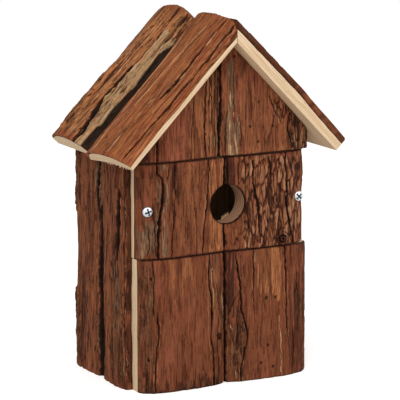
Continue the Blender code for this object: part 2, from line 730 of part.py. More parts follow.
def build():
    """Make every piece of the nest box."""
    clear_scene()
    house = make_parent("house", (0, 0, 0))
    door = make_parent("door", (HOLE_RIGHT, FRONT_PLANE, DOOR_MIDDLE))
    make_floor(house)
    make_back(house)
    left_wall = make_side_wall(house, "left", False, WALL_LEFT_FRONT_EDGE)
    right_wall = make_side_wall(house, "right", True, WALL_RIGHT_FRONT_EDGE)
    make_lower_front(house)
    make_gable(house)
    make_roof_side(house, "left", False, waney(ROOF_LEFT_FRONT_EDGE))
    make_roof_side(house, "right", True, sawn(ROOF_RIGHT_FRONT_EDGE))
    make_inner_strips(house)
    door_slabs = make_door_slabs(door)
    make_door_battens(door)
    fit_screw("screw_left", door, DOOR_LEFT + SCREW_LEFT_INSET, SCREW_LEFT_TURN,
              door_slabs[0], left_wall)
    fit_screw("screw_right", door, DOOR_RIGHT - SCREW_RIGHT_INSET, SCREW_RIGHT_TURN,
              door_slabs[1], right_wall)


build()
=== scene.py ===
"""The bark nest box as it looks: barked log slabs, sawn boards, screws and brads.

Places on a face are millimetres: across the grain, along it, and out through the bark.
On the front, across is the frame's +X and along is +Z. On the walls and the roof, across
runs from the back of the box to its front, and the roof's along is zero at the ridge.
"""

import logging
import math
from dataclasses import dataclass, field
from enum import Enum
from typing import ClassVar

import bmesh
import bpy
import numpy as np
from bpy.types import Material, Mesh, Node, NodeSocket, NodeTree, Object, bpy_prop_collection
from mathutils import Matrix, Vector


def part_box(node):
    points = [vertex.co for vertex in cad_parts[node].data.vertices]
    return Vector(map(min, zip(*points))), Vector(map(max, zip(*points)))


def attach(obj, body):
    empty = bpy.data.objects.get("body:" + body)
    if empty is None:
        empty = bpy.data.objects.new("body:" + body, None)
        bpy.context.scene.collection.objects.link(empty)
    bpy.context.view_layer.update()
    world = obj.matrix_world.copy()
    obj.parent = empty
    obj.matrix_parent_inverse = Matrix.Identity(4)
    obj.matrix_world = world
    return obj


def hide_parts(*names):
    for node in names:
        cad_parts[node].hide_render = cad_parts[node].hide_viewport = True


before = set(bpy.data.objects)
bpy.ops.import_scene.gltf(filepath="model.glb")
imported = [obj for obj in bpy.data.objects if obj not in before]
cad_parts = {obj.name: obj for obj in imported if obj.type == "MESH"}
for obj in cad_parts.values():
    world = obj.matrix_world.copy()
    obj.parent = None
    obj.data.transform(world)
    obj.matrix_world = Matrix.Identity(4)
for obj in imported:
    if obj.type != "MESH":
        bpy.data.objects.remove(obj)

LOG = logging.getLogger("nest_box")

MM = 0.001
WELD = 1e-6
SEAT_GAP = 0.3
ROOF_PITCH = math.radians(45.5)
ENTRY_HOLE_RIGHT = 1.0
ENTRY_HOLE_DIAMETER = 30.0
HEAD_HEIGHT = 2.7
HEAD_DIAMETER = 8.0
SHANK_HOLE_DIAMETER = 4.4

# How far each bore's cutter goes past the front of what it cuts, in millimetres
ENTRY_SPARE, SHANK_SPARE, SEAT_SPARE = 5.0, 4.0, 9.0

# Sockets of a Mix node that blends numbers or colours
FACTOR, FROM_VALUE, TO_VALUE = 0, 2, 3
FROM_COLOUR, TO_COLOUR, MIXED_COLOUR = 6, 7, 2

# Between these lie most values of a noise from 0 to 1
NOISE_SPAN = (0.3, 0.7)

# A Map Range node that starts and ends gently
GENTLY = {"interpolation_type": "SMOOTHSTEP"}


class Tone(Enum):
    """A look that a stretch of bark can have. The value names its mesh attribute."""

    CRUST = "crust"
    PLATES = "plates"
    ORANGE = "orange"
    GREY = "grey"
    PALE = "pale"
    DARK = "dark"
    SCRAPED = "scraped"
    FLUSHED = "flushed"
    # A gap sunk into the bark, coloured nearly black as painted shadow
    BARE = "bare"


class EdgeForm(Enum):
    """How the bark bends down to a long edge: the power and the root of its curve."""

    SAWN = (3.0, 0.5)
    WANEY = (2.0, 0.65)
    BLUNT = (6.0, 0.5)


class Grain(Enum):
    """The way a board's grain runs: the turn that brings the grain to local Y."""

    ALONG_X = (0.0, 0.0, math.pi / 2)
    ALONG_Y = (0.0, 0.0, 0.0)
    ALONG_Z = (math.pi / 2, 0.0, 0.0)


# How far each tone stands above the bark around it, in millimetres
LIFTS = {Tone.CRUST: 0.5, Tone.PLATES: 0.4, Tone.GREY: 0.5, Tone.PALE: 0.3, Tone.BARE: -3.2}


def linear(colour: str) -> tuple[float, float, float, float]:
    """Turns an sRGB hex colour to linear light.

    Args:
        colour: six hex digits.

    Returns:
        Red, green, blue and an alpha of 1.
    """
    channels = [int(colour[i:i + 2], 16) / 255 for i in (0, 2, 4)]
    light = [c / 12.92 if c <= 0.04045 else ((c + 0.055) / 1.055) ** 2.4 for c in channels]
    return (*light, 1.0)


def smooth(share: np.ndarray) -> np.ndarray:
    """A smooth step from 0 to 1."""
    share = np.clip(share, 0.0, 1.0)
    return share * share * (3 - 2 * share)


def face_noise(across: np.ndarray, along: np.ndarray, pitch: float, run: float, seed: int) -> np.ndarray:
    """Smooth noise over a face.

    Args:
        across: places across the grain.
        along: places along the grain.
        pitch: size of the noise across the grain.
        run: size of the noise along the grain.
        seed: picks the pattern.

    Returns:
        Values from 0 to 1.
    """
    cells = 64
    lattice = np.random.default_rng(seed).random((cells, cells))
    columns, rows = across / pitch, along / run
    i, j = np.floor(columns).astype(int), np.floor(rows).astype(int)
    a, b = smooth(columns - i), smooth(rows - j)
    i, j = i % cells, j % cells
    further, higher = (i + 1) % cells, (j + 1) % cells
    near = lattice[i, j] * (1 - a) + lattice[further, j] * a
    far = lattice[i, higher] * (1 - a) + lattice[further, higher] * a
    return near * (1 - b) + far * b


def grain_noise(across: np.ndarray, along: np.ndarray, pitch: float, run: float, seed: int) -> np.ndarray:
    """Noise with finer and finer detail over a face.

    Args:
        across, along: places on the face.
        pitch, run: size of its largest waves across and along the grain.
        seed: picks the pattern.

    Returns:
        Values around 0.5, mostly from 0.2 to 0.8.
    """
    total = np.zeros_like(across)
    for octave, weight in enumerate((0.5, 0.3, 0.2)):
        finer = 2.1 ** octave
        total += weight * face_noise(across, along, pitch / finer, run / finer, seed + octave)
    return total


def new_tree(name: str, inputs: dict[str, str]) -> tuple:
    """Starts a Geometry Nodes tree.

    Args:
        name: the tree's name.
        inputs: the kind of each input by its name, besides the geometry.

    Returns:
        The tree, its graph, and the outputs of its Group Input node.
    """
    tree = bpy.data.node_groups.new(name, "GeometryNodeTree")
    for title, kind in {"Geometry": "Geometry", **inputs}.items():
        tree.interface.new_socket(name=title, in_out="INPUT", socket_type=f"NodeSocket{kind}")
    tree.interface.new_socket(name="Geometry", in_out="OUTPUT", socket_type="NodeSocketGeometry")
    graph = Graph(tree)
    return tree, graph, graph.add("NodeGroupInput").node.outputs


def grow(piece: Object, tree: NodeTree, values: dict) -> None:
    """Runs a Geometry Nodes tree on a piece and keeps the result as its mesh.

    Args:
        piece: the object that the tree works on.
        tree: the tree.
        values: the tree's inputs by name.
    """
    modifier = piece.modifiers.new(tree.name, "NODES")
    modifier.node_group = tree
    for item in tree.interface.items_tree:
        if item.in_out == "INPUT" and item.name in values:
            modifier[item.identifier] = values[item.name]
    settled(piece)


class Graph:
    """Adds nodes to one node tree."""

    def __init__(self, tree: NodeTree) -> None:
        """Keeps the tree that the nodes go in."""
        self.tree = tree

    def feed(self, node: Node, inputs: dict | list) -> None:
        """Sets a node's inputs, or links them.

        Args:
            node: the node.
            inputs: values or sockets by the input's name or number, or in order.
        """
        pairs = inputs.items() if isinstance(inputs, dict) else enumerate(inputs)
        for key, value in pairs:
            if isinstance(value, NodeSocket):
                self.tree.links.new(value, node.inputs[key])
            else:
                node.inputs[key].default_value = value

    def add(self, kind: str, inputs: dict | list = (), operation: str = "",
            output: int | str = 0, **settings: str) -> NodeSocket:
        """Adds a node with its settings and links.

        Args:
            kind: the node's type name, which leaves out ShaderNode where it starts so.
            inputs: values or sockets by the input's name or number, or in order.
            operation: what a Math or a Vector Math node does.
            output: the name or number of the output wanted.
            settings: the node's other properties.

        Returns:
            The output socket, or the node if it has none.
        """
        whole_names = ("GeometryNode", "FunctionNode", "NodeGroup")
        node = self.tree.nodes.new(kind if kind.startswith(whole_names) else f"ShaderNode{kind}")
        if operation:
            node.operation = operation
        for name, value in settings.items():
            setattr(node, name, value)
        self.feed(node, inputs)
        return node.outputs[output] if node.outputs else node


def stretch(pitch: float, run: float) -> tuple[float, float, float]:
    """The scale that gives a pattern a pitch across the grain and a run along it."""
    return (1 / pitch, 1 / run, 1 / pitch)


def grain_pattern(graph: Graph, place: NodeSocket, scale: tuple | NodeSocket, detail: float,
                  roughness: float = 0.5, operation: str = "MULTIPLY") -> NodeSocket:
    """Adds noise that is stretched along the grain.

    Args:
        graph: the nodes that it joins.
        place: places in millimetres, with Y along the grain.
        scale: what the places are multiplied or divided by.
        detail: how many times finer noise is added.
        roughness: how strong the finer noise is.
        operation: MULTIPLY or DIVIDE.

    Returns:
        The noise, from 0 to 1.
    """
    scaled = graph.add("VectorMath", [place, scale], operation=operation)
    return graph.add(
        "TexNoise", {"Vector": scaled, "Scale": 1.0, "Detail": detail, "Roughness": roughness})


@dataclass(frozen=True)
class Coat:
    """A colour laid over those before it, where a noise or a mark on the bark is strong.

    Its pitch and run are the real width and length of a fleck of it, in millimetres.
    """

    colour: str
    pitch: float
    run: float
    low: float
    high: float
    strength: float = 1.0
    mark: str = ""
    ragged: float = 0.6
    also: str = ""


def lay_coats(graph: Graph, place: NodeSocket, base: str, coats: tuple[Coat, ...]) -> NodeSocket:
    """Lays coats of colour over a base colour.

    Args:
        graph: the material's nodes.
        place: places in millimetres, with Y along the grain.
        base: the hex colour below all coats.
        coats: the coats from the lowest to the topmost.

    Returns:
        The colour's socket.
    """
    colour = linear(base)
    for coat in coats:
        value = grain_pattern(graph, place, stretch(coat.pitch, coat.run), 4.0, 0.6)
        if coat.mark:
            mark = graph.add("Attribute", output="Fac", attribute_name=coat.mark)
            if coat.also:
                second = graph.add("Attribute", output="Fac", attribute_name=coat.also)
                mark = graph.add("Math", [mark, second], "MULTIPLY")
            spread = graph.add("Math", [value, coat.ragged, -coat.ragged / 2], "MULTIPLY_ADD")
            value = graph.add("Math", [mark, spread], "ADD")
        factor = graph.add(
            "MapRange", [value, coat.low, coat.high, 0.0, coat.strength], **GENTLY)
        colour = graph.add(
            "Mix", {FACTOR: factor, FROM_COLOUR: colour, TO_COLOUR: linear(coat.colour)},
            output=MIXED_COLOUR, data_type="RGBA")
    return colour


def fresh_material(name: str) -> tuple[Material, Graph, Node]:
    """Starts a material.

    Args:
        name: the material's name.

    Returns:
        The material, its nodes and its Principled shader.
    """
    material = bpy.data.materials.new(name)
    material.use_nodes = True
    return material, Graph(material.node_tree), material.node_tree.nodes["Principled BSDF"]


def fibrous(graph: Graph, fibre: NodeSocket, strength: float, height: float,
            rough: tuple[float, float]) -> dict[str, NodeSocket]:
    """Relief and gloss of a surface whose fibres stand up and are smoother than its pores.

    Args:
        graph: the material's nodes.
        fibre: the noise that draws the fibres.
        strength: the strength of the relief.
        height: the height of the fibres in millimetres.
        rough: the roughness of the pores and of the fibres.

    Returns:
        The shader's inputs by name.
    """
    bump = graph.add("Bump", {"Strength": strength, "Distance": height * MM, "Height": fibre})
    gloss = graph.add("MapRange", [fibre, *NOISE_SPAN, *rough])
    return {"Normal": bump, "Roughness": gloss}


@dataclass(frozen=True)
class FirBark:
    """Fir bark, partly scraped: reddish inner bark under what is left of a grey crust."""

    # The scraped inner bark gives long streaks of rust and orange, the crust grey brown flakes
    # whose feet get painted shade, and nothing on either shines.
    name: str
    base: str
    deep: str
    light: str
    flush: str
    weathered: str
    crust: str
    crust_light: str
    plate: str
    plate_light: str
    orange: str
    grey: str
    grey_light: str
    pale: str
    scraped: str
    dark: str = "2E130A"
    crack: str = "150904"

    # Real bark fibres are under 0.1 mm thick. They are drawn as bundles that still show.
    bundle_width: float = 0.55
    bundle_length: float = 9.0
    bundle_height: float = 0.7

    def coats(self) -> tuple[Coat, ...]:
        """The coats of colour from the inner bark out to the cracks.

        Returns:
            The coats: weathered stretches first, then what each mark shows, fine streaks and
            flecks of fibre 1 to 3 mm wide, which are as fine as the render shows, and cracks.
        """
        return (
            Coat(self.flush, 17.0, 50.0, 0.44, 0.62, 0.6),
            Coat(self.weathered, 9.0, 34.0, 0.46, 0.66, 0.35),
            Coat(self.scraped, 5.0, 40.0, 0.25, 1.0, 0.9, "scraped", 0.7),
            Coat(self.orange, 3.0, 40.0, 0.25, 1.0, 0.85, "orange", 0.7),
            Coat(self.flush, 5.0, 40.0, 0.25, 0.9, 0.9, "flushed", 0.7),
            Coat(self.deep, 1.7, 34.0, 0.75, 1.75, 0.95, "rugged", 2.4),
            Coat(self.light, 1.4, 34.0, 0.95, 1.70, 0.85, "rugged", 2.4),
            Coat(self.weathered, 2.0, 16.0, 0.62, 0.95, 0.5, "level", 0.5),
            Coat(self.deep, 2.0, 16.0, 0.42, 0.15, 0.7, "level", 0.5),
            Coat(self.plate, 2.0, 14.0, 0.30, 0.80, 0.75, "plates", 0.9),
            Coat(self.crust, 1.6, 11.0, 0.30, 0.85, 0.85, "crust", 0.9),
            Coat(self.grey, 1.6, 9.0, 0.30, 0.75, 0.9, "grey", 1.2),
            Coat(self.plate_light, 1.0, 9.0, 0.30, 1.00, 0.9, "plates", 0.9, "level"),
            Coat(self.crust_light, 1.0, 7.0, 0.40, 0.95, 0.75, "crust", 0.9, "level"),
            Coat(self.grey_light, 1.1, 6.0, 0.36, 0.85, 0.85, "grey", 1.5, "level"),
            Coat(self.dark, 1.1, 5.0, 1.05, 1.3, 0.7, "grey", 1.7),
            # Painted shade: the lower the coarse relief, the darker the bark
            Coat(self.dark, 1.2, 7.0, 0.20, 0.75, 0.85, "hollow_shade", 0.4),
            Coat(self.pale, 1.0, 12.0, 0.30, 0.80, 0.9, "pale", 0.7),
            Coat(self.light, 0.9, 18.0, 0.47, 0.66, 0.6), Coat(self.dark, 0.9, 14.0, 0.48, 0.66, 0.6),
            Coat(self.dark, 3.0, 26.0, 0.22, 0.95, 0.74, "dark", 0.9),
            Coat(self.crust_light, 1.0, 2.6, 0.58, 0.72, 0.4),
            Coat(self.dark, 1.1, 3.2, 0.56, 0.70, 0.45),
            # Painted shade at the feet of the layers' steps and in the gaps between plates
            Coat(self.dark, 1.0, 8.0, 0.25, 0.8, 0.9, "foot", 0.5),
            # Painted shadow: the sunk gaps are coloured nearly black
            Coat(self.crack, 2.0, 14.0, 0.05, 0.3, 0.96, "bare", 0.1),
            # Painted shade: the deeper a groove, the darker its colour, down to nearly black in the
            # deepest cracks
            Coat(self.dark, 1.0, 6.0, 0.15, 0.9, 0.9, "groove", 0.5),
            Coat(self.crack, 1.2, 6.0, 0.9, 1.9, 0.96, "groove", 1.0), )

    def material(self) -> Material:
        """Makes the bark material.

        Returns:
            A rough material whose relief runs with the grain.
        """
        material, graph, shader = fresh_material(self.name)
        place = graph.add("Attribute", output="Vector", attribute_name="grain")
        colour = lay_coats(graph, place, self.base, self.coats())
        fibre = grain_pattern(graph, place, stretch(self.bundle_width, self.bundle_length), 5.0, 0.7)
        graph.feed(shader, {"Base Color": colour, "Specular IOR Level": 0.15,
                            **fibrous(graph, fibre, 0.8, self.bundle_height, (0.96, 0.72))})
        return material


@dataclass(frozen=True)
class SawnSoftwood:
    """Sawn softwood: cream early wood, tan late wood in rings, and fibres torn by the saw."""

    # Planks cut by a coarse saw look matt and cream, with tan lines where a ring comes out and
    # short dark nicks of dirt in the torn fibres.
    name: str
    early: str = "DFC29D"
    late: str = "CDA980"
    fibre: str = "F2DEC2"
    soil: str = "8F6846"
    aged: str = "8E6049"
    ring_pitch: float = 2.6
    ring_wander: float = 9.0
    wander_pitch: float = 14.0
    wander_run: float = 90.0
    pith_depth: float = 22.0
    late_shares: tuple[float, float] = (0.45, 0.95)
    late_strength: float = 0.6
    grain: Grain | None = None

    # A torn fibre is about 0.05 mm thick. It is drawn ten times as coarse, so that it shows.
    tear_width: float = 0.5
    tear_length: float = 5.0
    tear_height: float = 0.3

    def place(self, graph: Graph) -> NodeSocket:
        """Places in millimetres from the log's middle, with Y along the grain.

        Args:
            graph: the material's nodes.

        Returns:
            A slab's places, which it carries as an attribute, or those of a board in the box,
            turned so that its grain runs along Y.
        """
        if self.grain is None:
            return graph.add("Attribute", output="Vector", attribute_name="grain")
        inside = graph.add("TexCoord", output="Object")
        return graph.add(
            "Mapping", {"Vector": inside, "Rotation": self.grain.value, "Scale": (1 / MM,) * 3})

    def material(self) -> Material:
        """Makes the wood material.

        Returns:
            A matt material with growth rings, which show as lines on a sawn side.
        """
        material, graph, shader = fresh_material(self.name)
        place = self.place(graph)
        wander = grain_pattern(graph, place, stretch(self.wander_pitch, self.wander_run), 2.0)
        from_pith = graph.add("VectorMath", [place, (0.0, 0.0, self.pith_depth)], "ADD")
        flat = graph.add("VectorMath", [from_pith, (1.0, 0.0, 1.0)], "MULTIPLY")
        radius = graph.add("VectorMath", [flat], output="Value", operation="LENGTH")
        wavy = graph.add("Math", [wander, self.ring_wander, radius], "MULTIPLY_ADD")
        turns = graph.add("Math", [wavy, self.ring_pitch], "DIVIDE")
        year = graph.add("Math", [turns], "FRACT")
        late = graph.add("MapRange", [year, *self.late_shares, 0.0, self.late_strength], **GENTLY)
        coats = (
            Coat(self.fibre, 0.8, 22.0, 0.45, 0.7, 0.6), Coat(self.late, 6.0, 60.0, 0.45, 0.75, 0.45),
            Coat(self.soil, 1.1, 6.0, 0.58, 0.74, 0.5), Coat(self.soil, 0.8, 46.0, 0.52, 0.70, 0.4),
            # Darker brown on the walls of the bores
            Coat(self.aged, 1.5, 5.0, 0.2, 0.9, 0.92, "aged"))
        colour = lay_coats(graph, place, self.early, coats)
        ringed = graph.add(
            "Mix", {FACTOR: late, FROM_COLOUR: colour, TO_COLOUR: linear(self.late)}, output=MIXED_COLOUR,
            data_type="RGBA")
        tear = grain_pattern(graph, place, stretch(self.tear_width, self.tear_length), 4.0, 0.65)
        graph.feed(shader, {"Base Color": ringed, "Specular IOR Level": 0.3,
                            **fibrous(graph, tear, 0.4, self.tear_height, (0.9, 0.66))})
        return material


@dataclass(frozen=True)
class BrightZinc:
    """Zinc-plated steel: a pale bluish metal, with painted shade down in the recess."""

    # Bright plating gives a soft, slightly cloudy gloss that mirrors the white room.
    name: str
    bright: str = "E8EBEF"
    dull: str = "D2D7DD"
    shadow: str = "0E2230"

    # Real crystals of zinc are far finer. They are drawn as clouds this wide, so that they show.
    cloud_size: float = 10 / 9

    def material(self) -> Material:
        """Makes the metal material.

        Returns:
            A metal with a soft gloss that varies over its plating.
        """
        material, graph, shader = fresh_material(self.name)
        inside = graph.add("TexCoord", output="Object")
        scale = (1 / (self.cloud_size * MM),) * 3
        cloud_place = graph.add("Mapping", {"Vector": inside, "Scale": scale})
        cloud = graph.add("TexNoise", {"Vector": cloud_place, "Scale": 1.0, "Detail": 3.0})
        plated = graph.add(
            "Mix", {FACTOR: cloud, FROM_COLOUR: linear(self.bright), TO_COLOUR: linear(self.dull)},
            output=MIXED_COLOUR, data_type="RGBA")
        # Painted shade down in the recess
        recess = graph.add("Attribute", output="Fac", attribute_name="recess")
        colour = graph.add(
            "Mix", {FACTOR: recess, FROM_COLOUR: plated, TO_COLOUR: linear(self.shadow)},
            output=MIXED_COLOUR, data_type="RGBA")
        gloss = graph.add("MapRange", [cloud, *NOISE_SPAN, 0.30, 0.46])
        graph.feed(shader, {"Base Color": colour, "Roughness": gloss, "Metallic": 0.85})
        return material


@dataclass(frozen=True)
class BluedWire:
    """Brad wire: drawn steel gone dark with rust and dirt."""

    # At the bottom of its pit a head shows as a dull, nearly black dot with a hint of rust.
    name: str
    steel: str = "241A16"
    rust: str = "3E2416"
    rust_spot: float = 0.5

    def material(self) -> Material:
        """Makes the brads' material.

        Returns:
            A dark material with hardly any metal left to see.
        """
        material, graph, shader = fresh_material(self.name)
        inside = graph.add("TexCoord", output="Object")
        place = graph.add("Mapping", {"Vector": inside, "Scale": (1 / MM,) * 3})
        rust = Coat(self.rust, self.rust_spot, self.rust_spot, 0.4, 0.6, 0.8)
        graph.feed(shader, {"Base Color": lay_coats(graph, place, self.steel, (rust,)),
                            "Metallic": 0.2, "Roughness": 0.8})
        return material


@dataclass(frozen=True)
class Lie:
    """How a slab lies: across and along its grain, and out of its bark."""

    across: Vector
    along: Vector
    outward: Vector
    datum: Vector = field(default_factory=Vector)

    def axes(self) -> np.ndarray:
        """The three directions as rows."""
        return np.array([self.across, self.along, self.outward])

    def to_face(self, points: np.ndarray) -> np.ndarray:
        """Points of the frame as places on the face, in millimetres."""
        return (points - np.array(self.datum)) @ self.axes().T / MM

    def to_frame(self, places: np.ndarray) -> np.ndarray:
        """Places on the face as points of the frame, in metres."""
        return places @ self.axes() * MM + np.array(self.datum)


FRONT_LIE = Lie(Vector((1, 0, 0)), Vector((0, 0, 1)), Vector((0, -1, 0)))


@dataclass
class Canvas:
    """What the marks leave on a slab: tones, heights and grooves at each of its points."""

    u: np.ndarray
    v: np.ndarray
    seed: int

    def __post_init__(self) -> None:
        """Starts with bark that has no marks."""
        self.tones = {tone: np.zeros_like(self.u) for tone in Tone}
        self.lift = np.zeros_like(self.u)
        self.groove = np.zeros_like(self.u)

    def noise(self, pitch: float, run: float, turn: int) -> np.ndarray:
        """Noise over the slab, centred on zero."""
        return grain_noise(self.u, self.v, pitch, run, self.seed + turn) - 0.5

    def tint(self, tone: Tone, mask: np.ndarray) -> None:
        """Gives the places in a mask a tone."""
        self.tones[tone] = np.maximum(self.tones[tone], mask)

    def carve(self, depth: np.ndarray) -> None:
        """Cuts a groove at least this deep."""
        self.groove = np.maximum(self.groove, depth)


@dataclass(frozen=True)
class Zone:
    """A stretch of bark with a tone of its own, whose edges fray along the grain."""

    tone: Tone
    left: float
    right: float
    low: float
    high: float
    strength: float = 1.0
    lift: float = 0.0

    def paint(self, canvas: Canvas) -> None:
        """Marks the stretch on a slab's canvas.

        Args:
            canvas: the slab's canvas.
        """
        fray_across, fray_along, fade_across, fade_along, least = 4.5, 36.0, 2.0, 6.0, 0.35
        u = canvas.u + fray_across * canvas.noise(4.2, 30.0, 0)
        v = canvas.v + fray_along * canvas.noise(2.4, 16.0, 9)
        inside = smooth(np.minimum(u - self.left, self.right - u) / fade_across + 0.2)
        inside = inside * smooth(np.minimum(v - self.low, self.high - v) / fade_along)
        gaps = smooth((canvas.noise(2.2, 19.0, 18) + 0.6 * self.strength - 0.24) / 0.12)
        mask = inside * gaps
        canvas.tint(self.tone, mask * (least + (1 - least) * self.strength))
        canvas.lift += mask * self.lift


@dataclass(frozen=True)
class Streak:
    """A narrow line along the grain: a tone, or a crack of some depth."""

    path: tuple[tuple[float, float], ...]
    width: float
    depth: float = 0.0
    tone: Tone | None = None
    LIPPED: ClassVar[float] = 1.6

    def paint(self, canvas: Canvas) -> None:
        """Marks the line on a slab's canvas.

        Args:
            canvas: the slab's canvas.
        """
        v, still, seed = canvas.v, np.zeros_like(canvas.v), canvas.seed
        wander, jitter, taper, lip_width, lip_height = 1.2, 0.8, 7.0, 0.8, 0.15
        points = sorted(self.path, key=lambda point: point[1])
        centre = np.interp(v, [p[1] for p in points], [p[0] for p in points])
        centre += wander * (grain_noise(still, v, 1, 11, seed) - 0.5)
        centre += jitter * (face_noise(still, v, 1, 2.6, seed + 3) - 0.5)
        swell = 0.3 + 0.7 * grain_noise(still, v, 1, 15, seed + 7)
        swell += 0.5 * face_noise(still, v, 1, 3.1, seed + 11)
        ends = np.minimum(v - points[0][1], points[-1][1] - v) / taper
        half = self.width / 2 * swell * np.sqrt(np.clip(ends, 0.0004, 1))
        away, kept = np.abs(canvas.u - centre), smooth(4 * ends)
        near = 1 - away / half
        if self.tone is None:
            depth = self.depth * (0.4 + 1.2 * grain_noise(still, v, 1, 9, seed + 17))
            canvas.carve(depth * smooth(1.3 * near) * kept)
            lip = smooth(1 - np.abs(away - half - lip_width / 2) / lip_width) * kept
            canvas.lift += lip_height * lip
            # Pale broken bark on the lips of wide cracks, with a painted highlight
            if self.width >= self.LIPPED:
                broken = smooth((canvas.noise(3.0, 14.0, 21) + 0.06) / 0.1)
                canvas.tint(Tone.PALE, 0.55 * lip * broken)
        else:
            unbroken = smooth((canvas.noise(1.6, 9.0, 27) + 0.22) / 0.12)
            canvas.tint(self.tone, smooth(1.5 * near) * kept * unbroken)


@dataclass(frozen=True)
class Spot:
    """Where a brad was driven: its head sits at the bottom of a small pit."""

    across: float
    along: float
    width: float = 2.6
    depth: float = 1.7

    def paint(self, canvas: Canvas) -> None:
        """Sinks the pit, a little longer along the grain, into a slab's canvas."""
        away = np.hypot(canvas.u - self.across, (canvas.v - self.along) * 0.85)
        canvas.carve(self.depth * smooth(1.6 * (1 - away / (self.width / 2))))


@dataclass(frozen=True)
class Knot:
    """A branch stub grown over: a lump with dark rings in its bark."""

    across: float
    along: float
    radius: float
    ring: float = 2.1

    def paint(self, canvas: Canvas) -> None:
        """Raises the lump on a slab's canvas and cuts its rings.

        Args:
            canvas: the slab's canvas.
        """
        height, ring_depth, bend = 1.2, 2.2, 1.6
        away = np.hypot(canvas.u - self.across, canvas.v - self.along)
        away = away + bend * canvas.noise(3.0, 4.0, 27)
        lump = smooth(1.4 * (1 - away / self.radius))
        canvas.tint(Tone.DARK, 0.9 * lump)
        canvas.lift += height * lump
        rings = smooth(np.cos(2 * math.pi * away / self.ring) * 1.6 - 0.3)
        canvas.carve(ring_depth * rings * smooth(3 * lump))


def crack(width: float, depth: float, *path: tuple[float, float]) -> Streak:
    """A crack along a path."""
    return Streak(path, width, depth)


def line(tone: Tone, width: float, *path: tuple[float, float]) -> Streak:
    """A narrow line of a tone along a path."""
    return Streak(path, width, tone=tone)


def wild(left: float, right: float, low: float, high: float, seed: int) -> tuple:
    """Cracks and crust that nobody placed, for bark that the photograph doesn't show.

    Args:
        left, right, low, high: the stretch of the face that they lie on.
        seed: picks the pattern.

    Returns:
        Zones and cracks.
    """
    rng = np.random.default_rng(seed)
    marks, crack_spacing, margin, bend = [], 13, 4, 2
    for _ in range(max(round((right - left) / crack_spacing), 3)):
        u, v = rng.uniform(left + margin, right - margin), rng.uniform(low, high)
        run = rng.uniform(0.25, 0.8) * (high - low)
        marks.append(crack(rng.uniform(1.2, 3.0), rng.uniform(0.8, 2.4),
                           (u, v - run / 2), (u + rng.uniform(-bend, bend), v),
                           (u + rng.uniform(-bend, bend), v + run / 2)))
    for tone in (Tone.CRUST, Tone.CRUST, Tone.PLATES, Tone.ORANGE, Tone.GREY, Tone.DARK):
        u, v = rng.uniform(left, right), rng.uniform(low, high)
        half_width, half_run = rng.uniform(4, 9), rng.uniform(0.15, 0.4) * (high - low)
        marks.append(
            Zone(tone, u - half_width, u + half_width, v - half_run, v + half_run, rng.uniform(0.5, 0.9)))
    return tuple(marks)


# What the bark of each slab shows, as places on its face
LOWER_LEFT_MARKS = (
    Zone(Tone.CRUST, -73, -61, -10, 112, 0.75),
    Zone(Tone.ORANGE, -49, -29, 72, 112, 0.4),
    Zone(Tone.SCRAPED, -50, -28, 70, 112, 0.5),
    Zone(Tone.CRUST, -14, -2, -10, 112, 0.45),
    Zone(Tone.SCRAPED, -13, -8, 8, 96, 0.6),
    Zone(Tone.GREY, -12.6, -2, 0, 104, 0.35),
    Zone(Tone.CRUST, -50, -8, -14, 9, 0.8),
    Zone(Tone.DARK, -72, -6, -14, 9, 0.8),
    Zone(Tone.DARK, -60, -52, 0, 50, 0.3),
    Zone(Tone.DARK, -15, -1, -10, 112, 0.42),
    crack(1.4, 1.3, (-62, 106), (-62.2, 76), (-63, 59)),
    crack(1.7, 1.5, (-59.4, 62), (-58.8, 48), (-60.9, 28), (-62.9, -4)),
    crack(1.0, 0.5, (-53.4, 104), (-53.6, 84), (-54.2, 60)),
    crack(2.0, 1.9, (-14.7, 106), (-15.6, 77), (-13.3, 69), (-13.7, 50), (-14.5, 36),
          (-12.7, 25), (-12.1, -4)),
    crack(1.2, 1.1, (-8.6, 80), (-6.6, 58), (-9, 34), (-7, 8)),
    crack(1.1, 1.0, (-5.8, 44), (-4, 30), (-5.4, 8)),
    crack(1.1, 0.9, (-22.9, 19), (-20.6, 11), (-14.9, 5)),
    crack(1.0, 0.6, (-38, 22), (-36.6, -3)),
    crack(1.0, 0.6, (-29, 17), (-30.4, -3)),
    crack(2.9, 2.6, (-1.2, 112), (-1.2, -10)),
    line(Tone.PALE, 1.3, (-5, 74), (-4, 66), (-3.6, 56)),
    line(Tone.PALE, 1.1, (-12.9, 98), (-13.6, 78), (-11.4, 68), (-11.6, 52)),
    line(Tone.SCRAPED, 2.0, (-17.4, 100), (-16.8, 74), (-16.4, 40), (-15, 20)),
    Knot(-7.4, 38, 3.6, 1.9),
    Spot(-64, 88), Spot(-66.5, 26), Spot(-49, 52, 1.8, 0.5),
)
